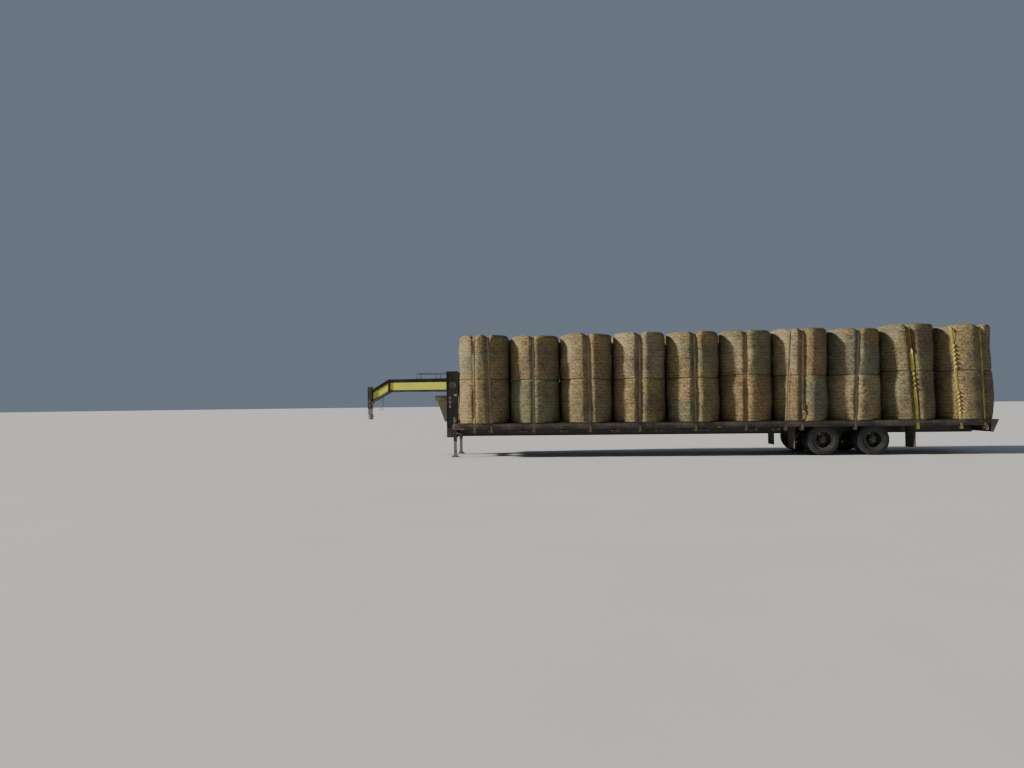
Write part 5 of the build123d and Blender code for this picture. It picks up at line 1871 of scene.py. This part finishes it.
@dataclass
class Jacks(Assembly):
    """Small parts of the two landing jacks."""

    setback: float = 0.100
    offset: float = 0.700
    tube_half: float = 0.0445
    leg_half: float = 0.0382
    tube_top: float = 1.080
    gear_height: float = 0.800
    gear_out: float = 0.7995
    gear_bolts: int = 6
    bolt_circle: float = 0.056
    bracket_low: float = 0.510
    bracket_high: float = 0.770
    bracket_out: float = 0.063
    pin_holes: int = 6
    pin_first: float = 0.105
    pin_pitch: float = 0.048
    crank_reach: float = 0.230

    def handle(self, x: float) -> Shape:
        """A D-shaped lift handle on the outer face of a jack.

        Args:
            x: The jack's place.

        Returns:
            The handle.
        """
        y = self.offset + self.tube_half + 0.004
        low, high, reach = 0.935, 1.055, 0.030
        points = [
            (x - reach, y, low), (x + reach * 0.6, y, low), (x + reach, y + 0.004, low + 0.020),
            (x + reach, y + 0.004, high - 0.020), (x + reach * 0.6, y, high), (x - reach, y, high),
        ]
        return bent_rod(points, 0.006, 8, True)

    def gear_covers(self, piece: Piece, x: float) -> None:
        """Adds the gear housings' covers and bolts; the near one is open for the crank's shaft.

        Args:
            piece: The piece that takes them.
            x: The jacks' place.
        """
        rim = [(0.078, 0.0), (0.076, 0.004), (0.046, 0.007), (0.040, 0.003), (0.030, 0.003), (0.026, 0.012)]
        closed = [(0.0, 0.0), *rim, (0.0, 0.012)]
        bored = [(0.016, 0.0), *rim, (0.016, 0.012), (0.016, 0.0)]
        piece.take(turned(closed, (x, self.gear_out, self.gear_height), "Y", 32), 3)
        ring = [(r, -h) for r, h in bored]
        piece.take(turned(ring, (x, -self.gear_out, self.gear_height), "Y", 32), 3)
        for px, pz in ring_places(x, self.gear_height, self.bolt_circle, self.gear_bolts):
            for side in Side:
                seat = side.value * self.gear_out + (0.004 if side is Side.FAR else 0.0)
                piece.take(nut((px, seat, pz), 0.007, 0.006, "Y", side.value), 1)

    def build(self) -> None:
        """Builds caps, handles, gear covers, bolts, pin holes and gussets on both sides."""
        p = self.places
        x = p.deck_front - self.setback
        piece = self.piece("jack_trim", "black", "worn", "under", "bronze")
        reach = self.tube_half + 0.004
        low = (x - reach, self.offset - reach, self.tube_top)
        piece.take_both(plate(low, (x + reach, self.offset + reach, self.tube_top + 0.008), 0.003, 2))
        piece.take_both(self.handle(x), 1)
        self.gear_covers(piece, x)
        for px in (p.riser_front + 0.030, p.riser_rear - 0.025):
            for pz in (self.bracket_low + 0.035, self.bracket_high - 0.035):
                piece.take_both(nut((px, p.beam_offset + self.bracket_out, pz), 0.013, 0.011), 1)
        for i in range(self.pin_holes):
            place = (x, self.offset + self.leg_half, self.pin_first + self.pin_pitch * i)
            piece.take_both(turned(disc(0.009, 0.0, 0.0006), place, "Y", 14), 2)
        for ahead in (-1, 1):
            start = x + ahead * self.leg_half
            gusset = [(start, 0.012), (start + ahead * 0.055, 0.012), (start, 0.075)]
            piece.take_both(outline_plate(gusset, self.offset - 0.003, 0.006), 1)
        lever = ((0.040, 0.752, 0.640), (0.075, 0.766, 0.622), (0.170, 0.772, 0.592), (0.190, 0.772, 0.590))
        piece.take_both(bent_rod([(x + dx, y, z) for dx, y, z in lever], 0.014, 10), 3)
        piece.done("black_paint")
        grip = [(0.0127, 0.0), (0.0150, 0.003), (0.0150, 0.104), (0.0127, 0.108)]
        place = (x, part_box("jack_drive")[0].y + 0.001, self.gear_height + self.crank_reach)
        piece = self.piece("crank_grip", "flap")
        piece.take(turned(grip, place, "Y", 20))
        piece.done("worn_steel")


@dataclass
class BoxTrim(Assembly):
    """Rim, rivets, handle and hinge knuckles of the tool box."""

    lid_half: float = 0.362
    lid_low: float = 1.496
    lid_top: float = 1.635
    hinge_setback: float = 0.020
    hinge_drop: float = 0.006
    box_top: float = 1.490
    box_bottom: float = 0.930
    reach_top: float = 0.256
    reach_bottom: float = 0.062
    box_half: float = 0.429
    rib_width: float = 0.020

    def lid_trim(self) -> None:
        """Builds what turns with the lid: its rolled rim, rivets, knuckles and handle."""
        front = self.places.lid_front
        rear = self.places.riser_front - self.hinge_setback
        piece = self.piece("lid_trim", "cap", "worn")
        half, low = self.lid_half + 0.002, self.lid_low + 0.004
        ends = ((rear - 0.014, -half), (front - 0.002, -half), (front - 0.002, half), (rear - 0.014, half))
        piece.take(bent_rod([(x, y, low) for x, y in ends], 0.0038, 8))
        rivet_height = self.lid_low + 0.018
        for i in range(9):
            piece.take(rivet((front, (i - 4) * 0.082, rivet_height), "X", -1), 1)
        for i in range(4):
            piece.take_both(rivet((front + 0.045 + 0.062 * i, self.lid_half, rivet_height), "Y", 1), 1)
        knuckle = [(0.0062, -0.045), (0.0095, -0.043), (0.0095, 0.043), (0.0062, 0.045)]
        for y in (-0.26, 0.0, 0.26):
            piece.take(turned(knuckle, (rear, y, self.lid_top - self.hinge_drop), "Y", 14), 1)
        z = (self.lid_low + self.lid_top) / 2
        grip = ((0.0, -0.07), (-0.030, -0.066), (-0.034, 0.0), (-0.030, 0.066), (0.0, 0.07))
        piece.take(bent_rod([(front + dx, y, z) for dx, y in grip], 0.006, 8), 1)
        piece.done("box_paint", "tool_box_lid")

    def box_trim(self) -> None:
        """Builds the ribs on the box's front and the rivets of the outer ones."""
        piece = self.piece("box_trim", "olive", "worn")
        riser = self.places.riser_front
        top_x, low_x = riser - self.reach_top, riser - self.reach_bottom
        top, low = self.box_top - 0.004, self.box_bottom + 0.004
        rib = [(top_x - 0.004, top), (low_x - 0.004, low), (low_x + 0.004, low), (top_x + 0.004, top)]
        for y in (-self.box_half, -0.15, 0.13, self.box_half - self.rib_width):
            piece.take(outline_plate(rib, y, self.rib_width))
        slope = (self.reach_top - self.reach_bottom) / (self.box_top - self.box_bottom)
        for i in range(7):
            up = 0.05 + i * 0.075
            for y in (-self.box_half + self.rib_width / 2, self.box_half - self.rib_width / 2):
                piece.take(rivet((low_x - slope * up - 0.004, y, self.box_bottom + up), "X", -1), 1)
        piece.done("box_paint")

    def build(self) -> None:
        """Builds the trim of the lid and of the box."""
        self.lid_trim()
        self.box_trim()


@dataclass
class RunningGear(Assembly):
    """Nuts, clips and pin ends of the springs, hangers and rockers."""

    axle_radius: float = 0.0635
    bolt_radius: float = 0.007
    bolt_gap: float = 0.001
    leaf_half: float = 0.038
    clamp_low: float = 0.3232
    pin_height: float = 0.4865
    eye_height: float = 0.4685
    hanger_out: float = 0.048
    spring_reach: float = 0.470
    leaf_top: float = 0.5105
    clip_places: tuple[float, float] = (-0.235, 0.235)

    def clip(self, piece: Piece, x: float) -> None:
        """Adds the bands that keep the leaves together, each as four flat bars.

        Args:
            piece: The piece that takes them.
            x: The bands' place.
        """
        y, half, thick = self.places.beam_offset, 0.012, 0.003
        inner, outer = self.leaf_half, self.leaf_half + thick
        low, high = self.leaf_top - 0.0255, self.leaf_top + 0.0048
        bars = (
            (-outer, outer, high, high + thick), (-outer, outer, low - thick, low),
            (-outer, -inner, low, high), (inner, outer, low, high),
        )
        for start, end, foot, head in bars:
            piece.take_both(plate((x - half, y + start, foot), (x + half, y + end, head), 0.0006), 1)

    def build(self) -> None:
        """Builds the small parts at each spring on both sides."""
        piece = self.piece("spring_fittings", "worn", "under")
        y, bolt, low = self.places.beam_offset, self.bolt_radius + self.bolt_gap, self.clamp_low
        across, ahead = self.leaf_half + bolt, self.axle_radius + bolt
        front, rear = self.places.axles
        for axle in (front, rear):
            for px in (axle - ahead, axle + ahead):
                for py in (y - across, y + across):
                    piece.take_both(nut((px, py, low), 0.0125, 0.012, "Z", -1))
                    piece.take_both(rod((px, py, low), (px, py, low - 0.024), self.bolt_radius, 8, 0.001))
            for dx in self.clip_places:
                self.clip(piece, axle + dx)
        eyes = ((front - self.spring_reach, self.eye_height), (rear + self.spring_reach, self.eye_height))
        for x, z in (*eyes, ((front + rear) / 2, self.pin_height)):
            for out in (-1, 1):
                piece.take_both(nut((x, y + out * self.hanger_out, z), 0.018, 0.014, "Y", out))
        piece.done("dark_steel")


@dataclass
class DeckTrim(Assembly):
    """Board screws, winch ratchets, webbing rolls and lamp rims."""

    load: Load
    spool_out: float = 1.2425
    spool_drop: float = 0.046
    cheek: float = 0.006
    strap_half: float = 0.030
    idle_half: float = 0.075
    idle: tuple[float, ...] = (1.736, 2.772, 4.070, 5.184, 6.335, 7.545, 8.119)
    member_first: float = 0.249
    member_pitch: float = 0.406
    screw_offset: float = 0.055
    screw_margin: float = 0.06
    marker_places: tuple[float, ...] = (0.012, 0.5)
    marker_in: float = 1.2475
    marker_out: float = 1.2645
    bumper_half: float = 1.295
    bumper_depth: float = 0.325
    bumper_lean: float = 0.152
    bumper_length: float = 0.200
    lamp_radius: float = 0.052
    lamp_inset: float = 0.130
    lamp_pitch: float = 0.150

    def screws(self) -> None:
        """Builds two screw heads in every board over every crossmember."""
        piece = self.piece("board_screws", "worn")
        head = [(0.0, 0.0), (0.007, 0.0), (0.0055, 0.0012), (0.0, 0.0016)]
        x = self.places.deck_front + self.member_first
        while x < self.places.deck_rear - self.screw_margin:
            for i in range(BOARD_COUNT):
                middle = -BOARD_EDGE + BOARD_PITCH * (i + 0.5)
                for y in (middle - self.screw_offset, middle + self.screw_offset):
                    piece.take(turned(head, (x, y, self.places.deck_height), "Z", 6))
            x += self.member_pitch
        piece.done("worn_steel")

    def rail_foot(self) -> float:
        """The height of the side rails' lower edge."""
        return self.places.deck_height - self.places.rail_height

    def ratchet(self, piece: Piece, x: float, half: float, side: Side) -> None:
        """Adds a toothed wheel, its pawl and the bar socket to one winch.

        Args:
            piece: The piece that takes them.
            x: The winch's middle.
            half: Half of its width.
            side: The side of the wagon.
        """
        face, y, z = x - half - self.cheek, side.value * self.spool_out, self.rail_foot() - self.spool_drop
        teeth = 12
        piece.take(turned(disc(0.031, -0.006, 0.0), (face, y, z), "X", 24))
        for i in range(teeth):
            turn = Matrix.Translation((face, y, z)) @ Matrix.Rotation(TURN * i / teeth, 4, "X")
            piece.take(moved(plate((-0.006, -0.005, 0.028), (0.0, 0.005, 0.037), 0.001), turn))
        socket = [(0.0, -0.034), (0.018, -0.034), (0.020, -0.030), (0.020, -0.006), (0.0, -0.006)]
        piece.take(turned(socket, (face, y, z), "X", 16))
        piece.take(plate((face - 0.008, y - 0.006, z + 0.030), (face, y + 0.006, z + 0.046), 0.002))

    def winches(self) -> None:
        """Builds the ratchets of all winches and the rolls on the ones in use."""
        gear = self.piece("winch_ratchets", "steel")
        rolls = self.piece("webbing_rolls", "roll", "yellow_roll")
        z = self.rail_foot() - self.spool_drop
        for plan in STRAPS:
            x = float(self.load.strap_place(plan, -self.load.strap_drop))
            for side in Side:
                self.ratchet(gear, x, self.strap_half, side)
                place = (x, side.value * self.spool_out, z)
                rolled = turned(roll(0.022, 0.035, 0.037, 0.026), place, "X", 20)
                # The non-yellow rolls take the darkened roll finish, painted shade under the side rail.
                rolls.take(rolled, 1 if plan.tone is WebTone.YELLOW else 0)
        for at in self.idle:
            for side in Side:
                self.ratchet(gear, self.places.deck_front + at, self.idle_half, side)
        gear.done("worn_steel")
        rolls.done("webbing")

    def lamp_rims(self) -> None:
        """Builds the rubber rings and the lenses of the tail lamps."""
        piece = self.piece("lamp_rims", "flap", "lamp")
        lean = math.atan2(self.bumper_lean, self.bumper_depth)
        x = self.places.deck_rear + self.bumper_length - self.bumper_lean / 2
        z = self.places.deck_height - self.bumper_depth / 2
        r = self.lamp_radius
        ring = [(r, 0.004), (r + 0.003, 0.016), (r + 0.008, 0.018), (r + 0.012, 0.012), (r + 0.012, 0.0)]
        lens = [(0.0, 0.0215), (r * 0.6, 0.0205), (r * 0.92, 0.0175), (r * 0.97, 0.010), (r * 0.97, 0.0)]
        for i in range(3):
            for side in Side:
                y = side.value * (self.bumper_half - self.lamp_inset - self.lamp_pitch * i)
                seat = Matrix.Translation((x, y, z)) @ Matrix.Rotation(math.radians(90) + lean, 4, "Y")
                for material, section in enumerate((ring, lens)):
                    piece.take(moved(turned(section, (0, 0, 0), "Z", 32), seat), material)
        piece.done("lamp_red")

    def marker_lenses(self) -> None:
        """Builds the amber lenses of the front and middle side markers."""
        piece = self.piece("marker_lenses", "amber")
        length = self.places.deck_rear - self.places.deck_front
        z = self.rail_foot() + 0.024
        for share in self.marker_places:
            x = self.places.deck_front + share * length
            low, high = (x - 0.033, self.marker_in, z - 0.015), (x + 0.033, self.marker_out, z + 0.015)
            piece.take_both(plate(low, high, 0.005, 3))
        piece.done("lamp_red")

    def tail_hook(self) -> None:
        """Builds the pale flat hook that hangs from the last strap's winch."""
        x, y = self.places.deck_rear - 0.070, -self.spool_out - 0.024
        line = ((-0.020, 0.745), (0.0, 0.705), (0.020, 0.660), (-0.005, 0.622), (-0.040, 0.640))
        piece = self.piece("tail_hook", "white")
        piece.take(bent_rod([(x + dx, y, z) for dx, z in line], 0.011, 10))
        piece.done("worn_steel")

    def build(self) -> None:
        """Builds the deck's small parts."""
        self.screws()
        self.winches()
        self.lamp_rims()
        self.marker_lenses()
        self.tail_hook()


# Stage


@dataclass
class Stage:
    """The pale floor, the soft studio light and the camera of the photograph."""

    wardrobe: Wardrobe
    camera_place: Point = (-3.23585, -21.2788, 1.4441)
    heading: float = 2.499
    roll: float = 0.622
    pitch: float = 1.308
    lens: float = 27.42
    sensor: float = 36.0
    sight_end: float = 500.0
    floor_radius: float = 240.0
    sun_azimuth: float = 81.0
    sun_height: float = 25.0
    sun_strength: float = 6.6
    sun_spread: float = 5.0
    sun_colour: Colour = (1.0, 0.93, 0.82)
    sky_strength: float = 0.22
    sky_colour: Colour = (0.66, 0.80, 1.0)

    @staticmethod
    def place(name: str, data: bpy.types.ID) -> bpy.types.Object:
        """Puts a new object in the scene.

        Args:
            name: The object's name.
            data: Its light, camera or mesh.

        Returns:
            The object.
        """
        obj = bpy.data.objects.new(name, data)
        bpy.context.scene.collection.objects.link(obj)
        return obj

    def camera(self) -> None:
        """Sets the camera where the photograph was taken from."""
        head, pitch, roll_angle = (math.radians(a) for a in (self.heading, self.pitch, self.roll))
        ahead = Vector((-math.sin(head), math.cos(head), 0.0))
        right = Vector((math.cos(head), math.sin(head), 0.0))
        up = Vector((0.0, 0.0, 1.0))
        sight = ahead * math.cos(pitch) + up * math.sin(pitch)
        above = up * math.cos(pitch) - ahead * math.sin(pitch)
        across = right * math.cos(roll_angle) - above * math.sin(roll_angle)
        tall = above * math.cos(roll_angle) + right * math.sin(roll_angle)
        data = bpy.data.cameras.new("photo camera")
        data.lens = self.lens
        data.sensor_width = self.sensor
        data.clip_end = self.sight_end
        obj = self.place("photo camera", data)
        turn = Matrix((across, tall, -sight)).transposed().to_4x4()
        obj.matrix_world = Matrix.Translation(self.camera_place) @ turn
        bpy.context.scene.camera = obj

    def floor(self) -> None:
        """Lays the floor under the wagon."""
        bm = bmesh.new()
        bmesh.ops.create_circle(bm, cap_ends=True, segments=96, radius=self.floor_radius)
        mesh = mesh_of(bm, "studio floor")
        mesh.materials.append(self.wardrobe["floor"])
        self.place("studio_floor", mesh)

    def lights(self) -> None:
        """Hangs the large key light at the left and the even sky."""
        azimuth, height = math.radians(self.sun_azimuth), math.radians(self.sun_height)
        level = math.cos(height)
        towards = Vector((math.sin(azimuth) * level, math.cos(azimuth) * level, -math.sin(height)))
        data = bpy.data.lights.new("key light", "SUN")
        data.energy = self.sun_strength
        data.angle = math.radians(self.sun_spread)
        data.color = self.sun_colour
        self.place("key light", data).rotation_euler = towards.to_track_quat("-Z", "Y").to_euler()
        world = bpy.data.worlds.new("studio sky")
        world.use_nodes = True
        background = world.node_tree.nodes["Background"]
        Wires(world.node_tree).feed(background, {"Color": self.sky_colour, "Strength": self.sky_strength})
        bpy.context.scene.world = world

    def build(self) -> None:
        """Sets the whole stage."""
        self.camera()
        self.floor()
        self.lights()


def main() -> None:
    """Dresses the frame, adds the load and the trim, and sets the stage."""
    logging.basicConfig(level=logging.INFO, format="%(message)s")
    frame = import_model()
    places = Places.read()
    wardrobe = Wardrobe()
    Stage(wardrobe).build()
    dress_nodes(frame["nodes"], wardrobe)
    load = Load(wardrobe, places)
    load.build()
    for kind in (Wheels, Gooseneck, Jacks, BoxTrim, RunningGear):
        kind(wardrobe, places).build()
    DeckTrim(wardrobe, places, load).build()
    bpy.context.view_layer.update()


if __name__ == "__main__":
    main()
